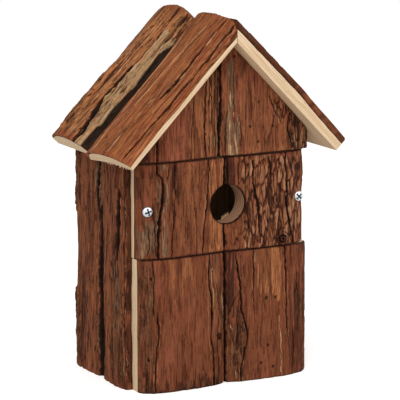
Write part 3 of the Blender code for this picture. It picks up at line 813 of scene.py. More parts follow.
LOWER_RIGHT_MARKS = (
    Zone(Tone.CRUST, 0.5, 16, 4, 54, 1.0),
    Zone(Tone.GREY, 6, 12, 12, 46, 0.2),
    Zone(Tone.CRUST, 1, 11, 50, 82, 0.6),
    Zone(Tone.DARK, -1, 8, 54, 112, 0.9),
    Zone(Tone.ORANGE, 26, 47, 62, 112, 0.75),
    Zone(Tone.SCRAPED, 25, 47, 60, 112, 1.0),
    Zone(Tone.SCRAPED, 26, 45, 8, 60, 0.35),
    Zone(Tone.DARK, 52, 76, -10, 112, 0.6),
    Zone(Tone.DARK, 1, 15, 6, 50, 0.25),
    Zone(Tone.CRUST, 57, 72, 40, 78, 0.6),
    Zone(Tone.CRUST, -2, 26, -9, 7, 0.7),
    crack(2.5, 2.4, (-0.6, 112), (-0.6, -10)),
    crack(1.9, 1.9, (8, 100), (11, 77), (11.6, 67), (12.1, 57), (15.3, 45), (17.1, 36),
          (13.9, 23), (10.8, 11), (10, -3)),
    crack(1.3, 1.1, (1.6, 51), (4.4, 60), (9.8, 71)),
    crack(1.0, 1.0, (9.5, 50), (7.5, 25)),
    crack(1.0, 0.9, (4.6, 40), (5.6, 12)),
    crack(1.6, 1.5, (22.6, 106), (22.7, 85), (22.1, 70), (23.4, 50)),
    crack(2.0, 2.1, (50.5, 106), (51, 78), (50.9, 57), (51.4, 30)),
    crack(1.5, 1.4, (56, 106), (55.8, 84)),
    crack(1.1, 0.8, (61, 90), (62, 60), (61, 30)),
    crack(1.0, 0.9, (67.6, 83), (67.4, 54), (69.4, 21)),
    crack(1.2, 1.0, (56.4, 40), (57.4, 20), (56, 2)),
    line(Tone.PALE, 2.4, (24.2, 100), (24.2, 91)),
    line(Tone.PALE, 1.4, (44.1, 50), (45, 29), (45.4, -3)),
    line(Tone.PALE, 2.2, (3.2, 47), (3.8, 40)),
    line(Tone.PALE, 2.2, (6.2, 10), (7.0, 2)),
    Spot(33.8, 63), Spot(41.5, 63), Spot(34.3, 26), Spot(28.1, 13), Spot(38.3, 9),
    Spot(34.8, 48, 1.6, 0.6), Spot(20.9, 25, 1.7, 0.7),
)
DOOR_LEFT_MARKS = (
    Zone(Tone.GREY, -72, -61.5, 103, 132, 1.0),
    Zone(Tone.GREY, -57.5, -49.5, 164, 175, 0.9),
    Zone(Tone.GREY, -55.5, -51, 100, 125, 0.85),
    Zone(Tone.DARK, -74, -60, 136, 178, 0.45),
    Zone(Tone.GREY, -31, -24, 103, 118, 0.5),
    Zone(Tone.CRUST, -47, -43, 100, 180, 0.4),
    Zone(Tone.CRUST, -53, -44, 104, 150, 0.4),
    Zone(Tone.ORANGE, -17, -2, 102, 178, 0.85),
    Zone(Tone.SCRAPED, -42, -18, 104, 178, 0.55),
    crack(2.5, 2.2, (-58.3, 180), (-58.7, 167), (-55.5, 164), (-54.3, 157), (-53.9, 150),
          (-55.2, 141), (-57.1, 131)),
    crack(3.4, 2.8, (-56.4, 138), (-57.1, 131), (-57.9, 119), (-58.4, 98)),
    crack(1.5, 1.2, (-61.2, 133), (-61, 127), (-60.1, 104)),
    crack(1.7, 1.4, (-49, 174), (-49.8, 168), (-51.4, 158)),
    crack(1.2, 1.0, (-66, 130), (-64.6, 118), (-66, 104)),
    crack(1.5, 1.2, (-45, 180), (-44.6, 159), (-43.4, 151), (-45, 140), (-45.9, 123), (-47.6, 100)),
    crack(1.2, 0.8, (-30.4, 178), (-29, 152), (-27, 130), (-25.6, 98)),
    crack(1.8, 1.5, (-15.9, 180), (-15.3, 167), (-17, 151), (-17.7, 137), (-19.2, 128),
          (-20.3, 115), (-21.3, 98)),
    crack(1.0, 0.6, (-37, 178), (-38, 150), (-37, 128)),
    crack(1.0, 0.6, (-24, 178), (-23.4, 150), (-24.4, 132)),
    crack(3.0, 2.4, (-1.2, 184), (-1.2, 92)),
    line(Tone.PALE, 1.3, (-22, 172), (-18.9, 161)),
    line(Tone.SCRAPED, 2.0, (-33, 176), (-33.6, 140), (-31, 108)),
    line(Tone.GREY, 3.6, (-60.6, 166), (-57.6, 158), (-57, 150), (-58.2, 141), (-60.2, 131), (-61, 110)),
    line(Tone.GREY, 3.6, (-53, 165), (-51.4, 156), (-50.8, 148), (-52, 139), (-53.6, 128), (-54.6, 108)),
)
DOOR_RIGHT_MARKS = (
    Zone(Tone.DARK, -6, 8.5, 140, 200, 1.0),
    crack(2.2, 2.0, (1.0, 184), (1.3, 168), (1.0, 148)),
    Zone(Tone.PLATES, 12, 66, 98, 180, 1.0),
    Zone(Tone.PLATES, 3, 16, 98, 124, 0.5),
    Zone(Tone.ORANGE, 2, 17, 102, 126, 0.35),
    Zone(Tone.DARK, 56, 70, 98, 180, 0.35),
    Zone(Tone.SCRAPED, 28, 50, 110, 172, 0.45),
    crack(2.6, 2.2, (-0.6, 184), (-0.5, 150), (-0.8, 92)),
    crack(1.4, 1.1, (11, 180), (10.8, 167), (10.4, 156)),
    crack(2.4, 2.0, (22, 172), (21.8, 163), (21.5, 154), (24.3, 144), (26.7, 137),
          (27.4, 124), (28.4, 106)),
    crack(1.7, 1.4, (35.4, 174), (37.3, 162), (38.6, 150)),
    crack(2.6, 2.2, (50.1, 180), (50.3, 156), (51.6, 142), (51.4, 130), (55.1, 117), (59.6, 98)),
    crack(1.6, 1.2, (40.4, 150), (39.7, 130)),
    crack(1.3, 1.0, (17, 140), (18.6, 124), (20, 104)),
    crack(1.3, 0.9, (45, 168), (46, 142), (44, 122)),
    crack(1.2, 1.0, (33, 148), (35, 130), (33, 105)),
    crack(1.3, 1.0, (15.4, 176), (15, 164), (16.5, 154)),
    crack(1.4, 1.1, (31, 176), (30, 166)),
    Knot(48.3, 108, 6.5, 2.7),
)
GABLE_LEFT_MARKS = (
    Zone(Tone.FLUSHED, -57, -34, 160, 235, 0.8),
    Zone(Tone.SCRAPED, -36, -20, 160, 235, 0.7),
    Zone(Tone.DARK, -73, -59, 170, 200, 0.7),
    Zone(Tone.CRUST, -19, -7, 170, 255, 0.3),
    Zone(Tone.GREY, -10, -6.5, 172, 224, 0.7),
    Zone(Tone.ORANGE, -16, -12, 176, 232, 0.9),
    Zone(Tone.SCRAPED, -19, -7, 180, 250, 0.9),
    Zone(Tone.GREY, -17.5, -8, 166, 240, 0.4),
    Zone(Tone.GREY, -34, -31.5, 172, 205, 0.35),
    crack(2.4, 1.8, (-58.6, 168), (-58.5, 192), (-58, 202)),
    crack(1.4, 1.0, (-30.9, 168), (-30, 198), (-28.2, 226)),
    crack(1.8, 1.4, (-17.2, 170), (-19.8, 194), (-19.1, 211), (-18, 236)),
    crack(1.4, 1.1, (-15.2, 176), (-15.4, 205), (-15, 240)),
    crack(1.4, 1.2, (-12, 178), (-12, 197), (-13.7, 217), (-13.1, 246)),
    crack(1.2, 1.0, (-9.6, 172), (-10, 215), (-9.4, 250)),
    crack(1.0, 0.4, (-44, 172), (-43, 205)),
    crack(2.4, 2.0, (-6.8, 262), (-6.8, 160)),
    Spot(-19, 194), Spot(-9.8, 193),
)
GABLE_RIGHT_MARKS = (
    Zone(Tone.GREY, -1.5, 10.8, 168, 208, 1.0),
    Zone(Tone.PALE, 1, 10, 160, 206, 0.54),
    Zone(Tone.GREY, -0.4, 6.4, 204, 254, 0.95),
    Zone(Tone.DARK, 1.5, 5, 224, 256, 0.5),
    Zone(Tone.SCRAPED, 9, 54, 160, 236, 0.75),
    Zone(Tone.FLUSHED, 9, 54, 160, 250, 0.55),
    Zone(Tone.SCRAPED, -4.5, 0.5, 206, 246, 0.9),
    Zone(Tone.PLATES, 52, 76, 160, 202, 1.0),
    Zone(Tone.PLATES, 37, 76, 198, 222, 0.9),
    Zone(Tone.CRUST, 54, 76, 160, 205, 0.8),
    Zone(Tone.GREY, 53, 76, 160, 208, 0.4),
    Zone(Tone.DARK, 48, 76, 160, 222, 0.45),
    Zone(Tone.DARK, 8, 30, 232, 262, 0.4),
    crack(2.6, 2.2, (-5.6, 258), (-4.6, 227), (-5, 210), (-5.7, 189), (-6.2, 160)),
    crack(1.3, 1.0, (-1, 176), (-0.6, 197), (0.6, 212)),
    crack(1.2, 0.9, (5.6, 252), (5.4, 232), (6, 208)),
    crack(1.2, 0.8, (11.4, 172), (12, 192), (9, 208)),
    crack(1.0, 0.5, (17, 172), (18, 210), (17, 236)),
    crack(1.5, 1.2, (33.7, 222), (41.8, 206), (46.7, 196)),
    crack(1.8, 1.5, (53.8, 208), (53.2, 203), (51.7, 192), (56.8, 178)),
    crack(1.5, 1.2, (61, 198), (62, 186), (60, 174)),
    line(Tone.PALE, 1.9, (2.2, 226), (2.6, 211)),
    line(Tone.PALE, 1.5, (56.7, 192), (57.4, 185)),
    Spot(19.2, 197), Spot(38.6, 196), Spot(26.6, 215, 2.0), Spot(26, 185, 2.0), Spot(6, 251),
    Spot(0.4, 197, 2.4, 0.7),
)
LEFT_WALL_REAR_MARKS = (
    Zone(Tone.ORANGE, -34, -6, 0, 190, 0.45),
    Zone(Tone.DARK, -56, -40, -10, 210, 0.75),
    Zone(Tone.CRUST, -7, 3, 20, 210, 0.7),
    Zone(Tone.GREY, -5, 3, 128, 166, 0.7),
    crack(4.6, 2.6, (-0.4, 210), (-0.6, 167), (-3.3, 138), (-0.4, 124)),
    crack(7.4, 4.2, (1.2, 136), (1.8, 117), (0.4, 79), (0.8, 34), (1.0, -8)),
    crack(3.6, 2.4, (-1.2, 60), (-1, 30), (-1.2, -6)),
    Zone(Tone.CRUST, -50, -30, 124, 186, 0.8, 0.9),
    Zone(Tone.CRUST, -50, -32, -6, 58, 0.8, 0.8),
    crack(2.0, 1.4, (-7, 172), (-6.6, 150), (-7.6, 120)),
    crack(1.2, 0.7, (-24, 170), (-25, 110)),
    crack(1.2, 0.7, (-22, 90), (-21, 30)),
    crack(1.1, 0.7, (-33, 70), (-34, 4)),
    crack(2.2, 1.6, (-40, 200), (-38, 150), (-39, 120)),
    line(Tone.GREY, 1.8, (-1.2, 141), (1.2, 131)),
    Spot(-18.5, 125), Spot(-11.9, 110, 1.9), Spot(-11.6, 96, 1.9), Spot(-11.7, 139, 1.9),
)
LEFT_WALL_FRONT_MARKS = (
    Zone(Tone.GREY, 26, 36, 40, 96, 0.75),
    Zone(Tone.CRUST, 22, 38, 8, 104, 0.6),
    Zone(Tone.DARK, 38, 46, -10, 210, 0.6),
    Zone(Tone.CRUST, 32, 42, 0, 22, 0.9),
    Zone(Tone.ORANGE, 8, 22, 4, 110, 0.4),
    Zone(Tone.DARK, 24, 44, 96, 160, 0.4),
    Zone(Tone.DARK, 3, 8, -10, 130, 0.7),
    crack(3.2, 2.2, (4.4, 130), (4.6, 60), (5.2, 28), (5.4, -6)),
    crack(8.0, 4.2, (34.6, 154), (34.3, 145), (33.3, 130), (31.2, 111), (30.6, 98)),
    crack(1.6, 1.1, (24.6, 102), (29, 90), (32.7, 80), (31, 60), (28.7, 40), (21.7, 14)),
    crack(1.3, 0.9, (15, 190), (16, 140), (14, 100)),
    crack(1.2, 0.8, (24, 80), (24.6, 50), (23, 18)),
    crack(1.3, 0.9, (38, 92), (39, 60), (38, 20)),
    crack(1.2, 0.8, (12.5, 26), (11, -3)),
    crack(1.7, 1.2, (42, 160), (41.4, 90), (42, 10)),
    line(Tone.SCRAPED, 1.4, (36.6, 140), (35.4, 112)),
)
ROOF_LEFT_REAR_MARKS = (
    Zone(Tone.GREY, -9, 8.0, -74, -9, 1.0),
    Zone(Tone.GREY, -11, 8.0, -92, -66, 1.0),
    Zone(Tone.GREY, -5, 8.0, -134, -86, 1.0),
    # Painted shadow in the valley between the rear slab and the front slab
    Zone(Tone.BARE, 4.1, 14, -132, -24, 1.0),
    Zone(Tone.BARE, 3.2, 14, -132, -98, 1.0),
    # Painted shadow along the rear slab's waney edge
    Zone(Tone.DARK, -56, -46, -50, 20, 0.6),
    Zone(Tone.ORANGE, -42, -27, -72, -46, 0.8, 0.9),
    Zone(Tone.CRUST, -50, -28, -112, -56, 0.55, 1.3),
    Zone(Tone.CRUST, -6, 8, -8, 16, 0.8),
    Zone(Tone.CRUST, -2, 6, -30, -8, 0.7),
    Zone(Tone.SCRAPED, -30, -14, -60, 14, 0.5),
    Zone(Tone.FLUSHED, -56, -11, -134, -44, 0.85),
    # Painted shadow along the rear slab's waney edge
    Zone(Tone.DARK, -55, -44, -130, -50, 0.6),
    crack(3.2, 2.3, (-15, 16), (-12, -3), (-7.9, -21), (-9.3, -32), (-7.8, -41), (-9.9, -51)),
    crack(5.7, 3.7, (-9.7, -46), (-10.6, -68), (-11.5, -80), (-9, -89), (-5.7, -102),
          (-3.4, -112), (-4.6, -134)),
    crack(3.2, 2.5, (-8.2, -86), (-6.6, -102), (-5.4, -134)),
    crack(1.8, 1.1, (-4.4, 16), (-4.2, -6)),
    crack(1.6, 1.1, (0, 16), (0.6, -10)),
    crack(1.8, 1.1, (-1, -80), (2, -92), (1, -98)),
    crack(1.8, 1.0, (-30, 14), (-31, -30), (-33, -60)),
    crack(1.6, 0.9, (-26, 10), (-26.4, -30), (-25, -60)),
    crack(1.6, 1.0, (-20.6, -70), (-20, -100), (-18.6, -126)),
    crack(1.6, 0.9, (-36, -60), (-37, -124)),
    crack(1.8, 1.0, (-29, -66), (-30, -96), (-29, -126)),
    line(Tone.PALE, 1.8, (-20, -3), (-19.1, -33)),
    line(Tone.PALE, 1.8, (-27.8, 8), (-24.7, -14), (-26, -25), (-24.2, -52)),
    line(Tone.PALE, 2.0, (-19.6, -51), (-17.1, -71), (-18.6, -86), (-22.2, -112)),
    line(Tone.PALE, 1.5, (-33, -10), (-32, -50), (-34, -84)),
    line(Tone.PALE, 2.6, (-13.6, -36), (-16.6, -50), (-18.6, -64)),
    crack(1.7, 1.1, (-6.8, -54), (-4.9, -61), (-2.8, -68)),
    crack(1.7, 1.1, (-1.6, -79), (-4.2, -87), (-4.4, -94)),
    line(Tone.PALE, 1.8, (-8.9, -86), (-13.2, -105), (-14.4, -123)),
    line(Tone.PALE, 1.6, (-25.6, -84), (-22.6, -109)),
    line(Tone.PALE, 2.4, (3.4, -8), (4.4, -20)),
)
ROOF_LEFT_FRONT_MARKS = (
    Zone(Tone.ORANGE, 14, 60, -130, 20, 0.45),
    Zone(Tone.FLUSHED, 63, 70.5, -110, 6, 0.6),
    Zone(Tone.DARK, 71.5, 80, -130, 20, 0.25),
    crack(3.4, 2.8, (64, 18), (62, 12), (60.2, -4), (60.2, -22), (60.3, -37), (61, -52), (59.4, -68)),
    crack(1.5, 1.1, (59.6, -64), (56, -84), (54, -110)),
    crack(2.3, 2.0, (72.4, 12), (71.8, -28), (71.3, -42), (70.8, -59), (70.6, -76),
          (69.6, -90), (69.4, -124)),
    crack(1.6, 1.3, (51.2, -66), (50.9, -85), (49.3, -103), (49.4, -124)),
    crack(1.3, 0.9, (36.4, 12), (35, -30), (33, -56)),
    crack(1.3, 0.8, (45, -50), (43.6, -100)),
    crack(1.3, 0.9, (26, 14), (25, -40), (26, -90)),
    crack(1.3, 0.9, (33, -70), (32, -124)),
    # Painted shadow on the front slab's flank in the valley
    line(Tone.BARE, 5.0, (13.2, -66), (15.0, -88), (16.4, -99), (19.0, -110), (19.6, -134)),
    # Pale broken bark along the lip above the valley, with a painted highlight
    line(Tone.PALE, 5.4, (19.8, -12), (19.4, -48), (21.0, -74), (23.0, -88), (24.4, -99),
         (27.0, -110), (27.6, -134)),
    line(Tone.PALE, 2.6, (45.4, 3), (41.5, -10), (39.8, -28), (38.6, -42)),
    line(Tone.PALE, 2.2, (38.4, -38), (38, -60), (35, -94)),
    line(Tone.PALE, 1.9, (61.6, 2), (62.9, -20)),
    line(Tone.PALE, 2.7, (62.4, -32), (61.8, -48)),
    line(Tone.PALE, 2.0, (53.6, -68), (51.8, -84), (50.6, -98), (50.6, -124)),
    Spot(59.5, -67), Spot(51.1, 8, 2.0), Spot(42, -8, 1.8), Spot(34, -111, 2.0),
)
ROOF_RIGHT_FRONT_MARKS = wild(10, 62, -130, 15, 61) + (
    Zone(Tone.DARK, 58, 82, -70, 24, 1.0),
    Zone(Tone.DARK, 62, 82, -136, -60, 0.45),
)


@dataclass(frozen=True)
class SawCut:
    """A plane in the frame. What lies on its normal's side is sawn off."""

    point: Vector
    normal: Vector
    mitred: bool = False


@dataclass(frozen=True)
class Bore:
    """A round hole along Y, in millimetres of the frame."""

    x: float
    z: float
    front: float
    rear: float
    diameter: float
    sides: int = 96

    def cutter(self) -> Object:
        """Makes the bore's volume, ringed so that its wall has points all along it.

        Returns:
            A cylinder whose faces are marked as a bore's wall.
        """
        ring_step = 0.7
        rings = max(round((self.rear - self.front) / ring_step), 1)
        turns = [2 * math.pi * k / self.sides for k in range(self.sides)]
        loops = []
        for i in range(rings + 1):
            y = self.front + (self.rear - self.front) * i / rings
            loops.append([((self.x + math.cos(t) * self.diameter / 2) * MM, y * MM,
                           (self.z + math.sin(t) * self.diameter / 2) * MM) for t in turns])
        return loft("bore", loops, BarkSlab.BORED)


def mesh_object(name: str, bm: bmesh.types.BMesh) -> Object:
    """Turns a bmesh into an object at the frame's origin and frees it.

    Args:
        name: the object's name.
        bm: the bmesh.

    Returns:
        The object, linked to the scene.
    """
    mesh = bpy.data.meshes.new(name)
    bm.to_mesh(mesh)
    bm.free()
    piece = bpy.data.objects.new(name, mesh)
    bpy.context.collection.objects.link(piece)
    return piece


def loft(name: str, loops: list[list[tuple]], kind: int = 0) -> Object:
    """Makes a closed solid through rings of points.

    Args:
        name: the object's name.
        loops: the rings, each with the same number of points in metres.
        kind: the material number of its faces.

    Returns:
        The solid.
    """
    bm = bmesh.new()
    rings = [[bm.verts.new(point) for point in loop] for loop in loops]
    for near, far in zip(rings, rings[1:]):
        for k in range(len(near)):
            bm.faces.new((near[k - 1], near[k], far[k], far[k - 1]))
    for end in (rings[0], rings[-1]):
        bm.faces.new(end)
    bmesh.ops.recalc_face_normals(bm, faces=bm.faces)
    for face in bm.faces:
        face.material_index = kind
    return mesh_object(name, bm)


def settled(piece: Object) -> Object:
    """Applies a piece's modifiers.

    Args:
        piece: an object with live modifiers.

    Returns:
        The same object with a plain mesh.
    """
    depsgraph = bpy.context.evaluated_depsgraph_get()
    mesh = bpy.data.meshes.new_from_object(
        piece.evaluated_get(depsgraph), preserve_all_data_layers=True, depsgraph=depsgraph)
    piece.modifiers.clear()
    piece.data = mesh
    mesh.name = piece.name
    return piece


def cut_away(piece: Object, cutters: list[Object]) -> None:
    """Takes the cutters' volumes out of a piece and removes the cutters.

    Args:
        piece: the piece.
        cutters: closed solids.
    """
    for cutter in cutters:
        modifier = piece.modifiers.new(cutter.name, "BOOLEAN")
        modifier.operation = "DIFFERENCE"
        modifier.solver = "EXACT"
        modifier.object = cutter
    settled(piece)
    for cutter in cutters:
        bpy.data.objects.remove(cutter)


def coordinates(mesh: Mesh) -> np.ndarray:
    """A mesh's points as rows, in metres."""
    points = np.empty(len(mesh.vertices) * 3)
    mesh.vertices.foreach_get("co", points)
    return points.reshape(-1, 3)


def put(mesh: Mesh, name: str, values: np.ndarray) -> None:
    """Stores values on a mesh as an attribute.

    Args:
        mesh: the mesh.
        name: the attribute's name.
        values: one number for each point, or three where the array has columns.
    """
    kind, slot = ("FLOAT_VECTOR", "vector") if values.ndim == 2 else ("FLOAT", "value")
    attribute = mesh.attributes.new(name, kind, "POINT")
    attribute.data.foreach_set(slot, values.astype(np.float32).ravel())


@dataclass(frozen=True)
class BarkRelief:
    """The relief of the bark, in millimetres: ridges, the layers it peels in, and fibres."""

    ridge_height: float = 0.5
    ridge_pitch: float = 5.0
    ridge_run: float = 48.0
    layer_height: float = 0.17
    layer_width: float = 7.5
    layer_run: float = 74.0
    flake_height: float = 0.34
    flake_width: float = 3.4
    flake_run: float = 11.0
    plate_height: float = 0.8
    plate_width: float = 3.4
    plate_run: float = 15.0
    fibre_height: float = 0.26

    # Fibres are finer than this in real bark. They are drawn so wide that the mesh holds them.
    FIBRE_WIDTH, FIBRE_RUN = 1.8, 26.0

    # A layer's steps: how many there are, and in each where it climbs and where its foot gets painted
    # shade
    LAYER_STEPS, FLAKE_STEPS, CLIMB_FROM, FOOT_AT, FOOT_REACH = 9.0, 11.0, 0.72, 0.74, 0.2

    # The plates: how noise bends them, where their rims rise, how wide their gaps are, and how
    # low the lowest stands
    BEND, RIM_SPAN, GAP_REACH, LOWEST_SHARE = (1.3, 1.3, 0.0), (0.02, 0.18), 0.11, 0.4

    # Shares that the tree mixes the layers, the flakes and their shaded feet by, and the share of the
    # coarse relief that turns into painted shade in the hollows
    GREY_SHARE, CRUST_SHARE, SOFT_FOOT_SHARE = 0.4, 0.5, 0.55
    CALM_SHARE, CALM_FOOT_SHARE, HOLLOW_SHARE = 0.6, 0.15, -1.1

    def tree(self) -> NodeTree:
        """Builds the Geometry Nodes tree that raises the relief.

        It reads the marks that a slab carries, moves the bark outwards or inwards, keeps what
        the colours need as attributes, and sets the bark and wood materials.

        Returns:
            The tree, with an input for each size.
        """
        sizes = {title: "Float" for title in self.values()}
        tree, graph, given = new_tree(
            "bark relief", {"Outward": "Vector", **sizes, "Bark": "Material", "Wood": "Material"})
        place = graph.add("GeometryNodeInputNamedAttribute", ["grain"], data_type="FLOAT_VECTOR")
        marks = {name: graph.add("GeometryNodeInputNamedAttribute", [name], data_type="FLOAT")
                 for name in ("crust", "plates", "grey", "skin", "shape", "room", "rugged")}
        rough = graph.add("Math", [marks["crust"], marks["plates"]], "MAXIMUM")
        rough = graph.add("Math", [marks["grey"], self.GREY_SHARE, rough], "MULTIPLY_ADD")
        rough = graph.add("Math", [rough, 1.0], "MINIMUM")
        ridge = self.ridges(graph, given, place, marks["rugged"])
        level, foot, layer = self.layers(graph, given, place, "Layer", self.LAYER_STEPS)
        rough_level, rough_foot, flake = self.layers(graph, given, place, "Flake", self.FLAKE_STEPS)
        layer = graph.add("Math", [layer, marks["rugged"]], "MULTIPLY")
        flake = graph.add("Math", [flake, rough, layer], "MULTIPLY_ADD")
        scaly = graph.add("Math", [marks["crust"], self.CRUST_SHARE], "MULTIPLY")
        scaly = graph.add("Math", [scaly, marks["plates"]], "MAXIMUM")
        plate_level, gap, plate = self.plates(graph, given, place)
        flake = graph.add("Math", [plate, scaly, flake], "MULTIPLY_ADD")
        fibre = self.fibres(graph, given, place)
        level = graph.add(
            "Mix", {FACTOR: rough, FROM_VALUE: level, TO_VALUE: rough_level}, data_type="FLOAT")
        soft = graph.add("Math", [foot, marks["rugged"]], "MULTIPLY")
        soft = graph.add("Math", [soft, self.SOFT_FOOT_SHARE], "MULTIPLY")
        foot = graph.add(
            "Mix", {FACTOR: rough, FROM_VALUE: soft, TO_VALUE: rough_foot}, data_type="FLOAT")
        level = graph.add(
            "Mix", {FACTOR: scaly, FROM_VALUE: level, TO_VALUE: plate_level}, data_type="FLOAT")
        foot = graph.add("Mix", {FACTOR: scaly, FROM_VALUE: foot, TO_VALUE: gap}, data_type="FLOAT")
        calm = graph.add("Math", [marks["grey"], self.CALM_SHARE], "MULTIPLY")
        foot = graph.add(
            "Mix", {FACTOR: calm, FROM_VALUE: foot, TO_VALUE: self.CALM_FOOT_SHARE}, data_type="FLOAT")
        coarse = graph.add("Math", [ridge, flake], "ADD")
        # Painted shade in the hollows of the coarse relief
        hollow_shade = graph.add("Math", [coarse, self.HOLLOW_SHARE], "MULTIPLY")
        shaped = graph.add("Math", [coarse, marks["shape"]], "ADD")
        height = graph.add("Math", [shaped, fibre], "ADD")
        floor = graph.add("Math", [marks["room"], -1.0], "MULTIPLY")
        height = graph.add("Math", [height, floor], "MAXIMUM")
        height = graph.add("Math", [height, marks["skin"]], "MULTIPLY")
        metres = graph.add("Math", [height, MM], "MULTIPLY")
        offset = graph.add("VectorMath", {0: given["Outward"], "Scale": metres}, "SCALE")
        geometry = given["Geometry"]
        for name, value in (("level", level), ("foot", foot), ("hollow_shade", hollow_shade)):
            geometry = graph.add(
                "GeometryNodeStoreNamedAttribute", {"Geometry": geometry, "Name": name, "Value": value},
                data_type="FLOAT", domain="POINT")
        geometry = graph.add("GeometryNodeSetPosition", {"Geometry": geometry, "Offset": offset})
        geometry = graph.add("GeometryNodeRealizeInstances", {"Geometry": geometry})
        geometry = graph.add("GeometryNodeSetMaterial", {"Geometry": geometry, "Material": given["Bark"]})
        sawn = graph.add("GeometryNodeInputNamedAttribute", ["sawn"], data_type="BOOLEAN")
        geometry = graph.add(
            "GeometryNodeSetMaterial",
            {"Geometry": geometry, "Selection": sawn, "Material": given["Wood"]})
        graph.add("NodeGroupOutput", [geometry])
        return tree

    def ridges(self, graph: Graph, given: bpy_prop_collection, place: NodeSocket,
               rugged: NodeSocket) -> NodeSocket:
        """Long ridges, higher on rugged bark.

        Args:
            graph: the tree's graph.
            given: the tree's inputs.
            place: places in millimetres, with Y along the grain.
            rugged: how rugged the bark is.

        Returns:
            The height in millimetres.
        """
        size = graph.add("CombineXYZ", [given["Ridge Pitch"], given["Ridge Run"], given["Ridge Pitch"]])
        noise = grain_pattern(graph, place, size, 3.0, 0.55, "DIVIDE")
        swing = graph.add("MapRange", [noise, 0.28, 0.72, -1.0, 1.0])
        tall = graph.add("Math", [rugged, given["Ridge Height"]], "MULTIPLY")
        return graph.add("Math", [swing, tall], "MULTIPLY")

    def layers(self, graph: Graph, given: bpy_prop_collection, place: NodeSocket, name: str,
               count: float) -> tuple[NodeSocket, NodeSocket, NodeSocket]:
        """Layers that end in steps.

        Args:
            graph, given, place: as for the ridges.
            name: the inputs' first word.
            count: how many steps the noise's whole range has.

        Returns:
            The level from 0 to 1, the foot of each step, which gets painted shade, and the height in
            millimetres.
        """
        size = graph.add(
            "CombineXYZ", [given[f"{name} Width"], given[f"{name} Run"], given[f"{name} Width"]])
        noise = grain_pattern(graph, place, size, 3.0, 0.55, "DIVIDE")
        steps = graph.add("Math", [noise, count], "MULTIPLY")
        whole = graph.add("Math", [steps], "FLOOR")
        part = graph.add("Math", [steps], "FRACT")
        rise = graph.add("MapRange", [part, self.CLIMB_FROM, 1.0, 0.0, 1.0], **GENTLY)
        climbed = graph.add("Math", [whole, rise], "ADD")
        level = graph.add("MapRange", [climbed, *(share * count for share in NOISE_SPAN), 0.0, 1.0])
        centred = graph.add("Math", [climbed, count / 2], "SUBTRACT")
        height = graph.add("Math", [centred, given[f"{name} Height"]], "MULTIPLY")
        away = graph.add("Math", [part, self.FOOT_AT], "SUBTRACT")
        away = graph.add("Math", [away], "ABSOLUTE")
        foot = graph.add("MapRange", [away, 0.0, self.FOOT_REACH, 1.0, 0.0], **GENTLY)
        return level, foot, height

    def plates(self, graph: Graph, given: bpy_prop_collection,
               place: NodeSocket) -> tuple[NodeSocket, NodeSocket, NodeSocket]:
        """Long scales with gaps between them.

        Args:
            graph, given, place: as for the ridges.

        Returns:
            Each scale's level from 0 to 1, the gaps round it, which get painted shade, and the height in
            millimetres.
        """
        scale = graph.add("CombineXYZ", [given["Plate Width"], given["Plate Run"], given["Plate Width"]])
        scaled = graph.add("VectorMath", [place, scale], "DIVIDE")
        swirl = graph.add("TexNoise", {"Vector": scaled, "Scale": 0.9, "Detail": 2.0}, output="Color")
        bent = graph.add("VectorMath", [swirl, self.BEND, scaled], "MULTIPLY_ADD")
        rim = graph.add(
            "TexVoronoi", {"Vector": bent, "Scale": 1.0}, output="Distance", feature="DISTANCE_TO_EDGE")
        cell = graph.add("TexVoronoi", {"Vector": bent, "Scale": 1.0}, output="Color")
        top = graph.add("MapRange", [rim, *self.RIM_SPAN, 0.0, 1.0], **GENTLY)
        tall = graph.add("Math", [cell, 1 - self.LOWEST_SHARE, self.LOWEST_SHARE], "MULTIPLY_ADD")
        level = graph.add("Math", [top, tall], "MULTIPLY")
        centred = graph.add("Math", [level, self.LOWEST_SHARE], "SUBTRACT")
        height = graph.add("Math", [centred, given["Plate Height"]], "MULTIPLY")
        gap = graph.add("MapRange", [rim, 0.0, self.GAP_REACH, 0.9, 0.0], **GENTLY)
        return level, gap, height

    def fibres(self, graph: Graph, given: bpy_prop_collection, place: NodeSocket) -> NodeSocket:
        """The fine grain of the bark.

        Args:
            graph, given, place: as for the ridges.

        Returns:
            The height in millimetres.
        """
        noise = grain_pattern(graph, place, stretch(self.FIBRE_WIDTH, self.FIBRE_RUN), 3.0, 0.6)
        swing = graph.add("Math", [noise, 2.0, -1.0], "MULTIPLY_ADD")
        return graph.add("Math", [swing, given["Fibre Height"]], "MULTIPLY")

    def values(self) -> dict[str, float]:
        """The sizes by the names of the tree's inputs."""
        return {name.replace("_", " ").title(): value for name, value in vars(self).items()}


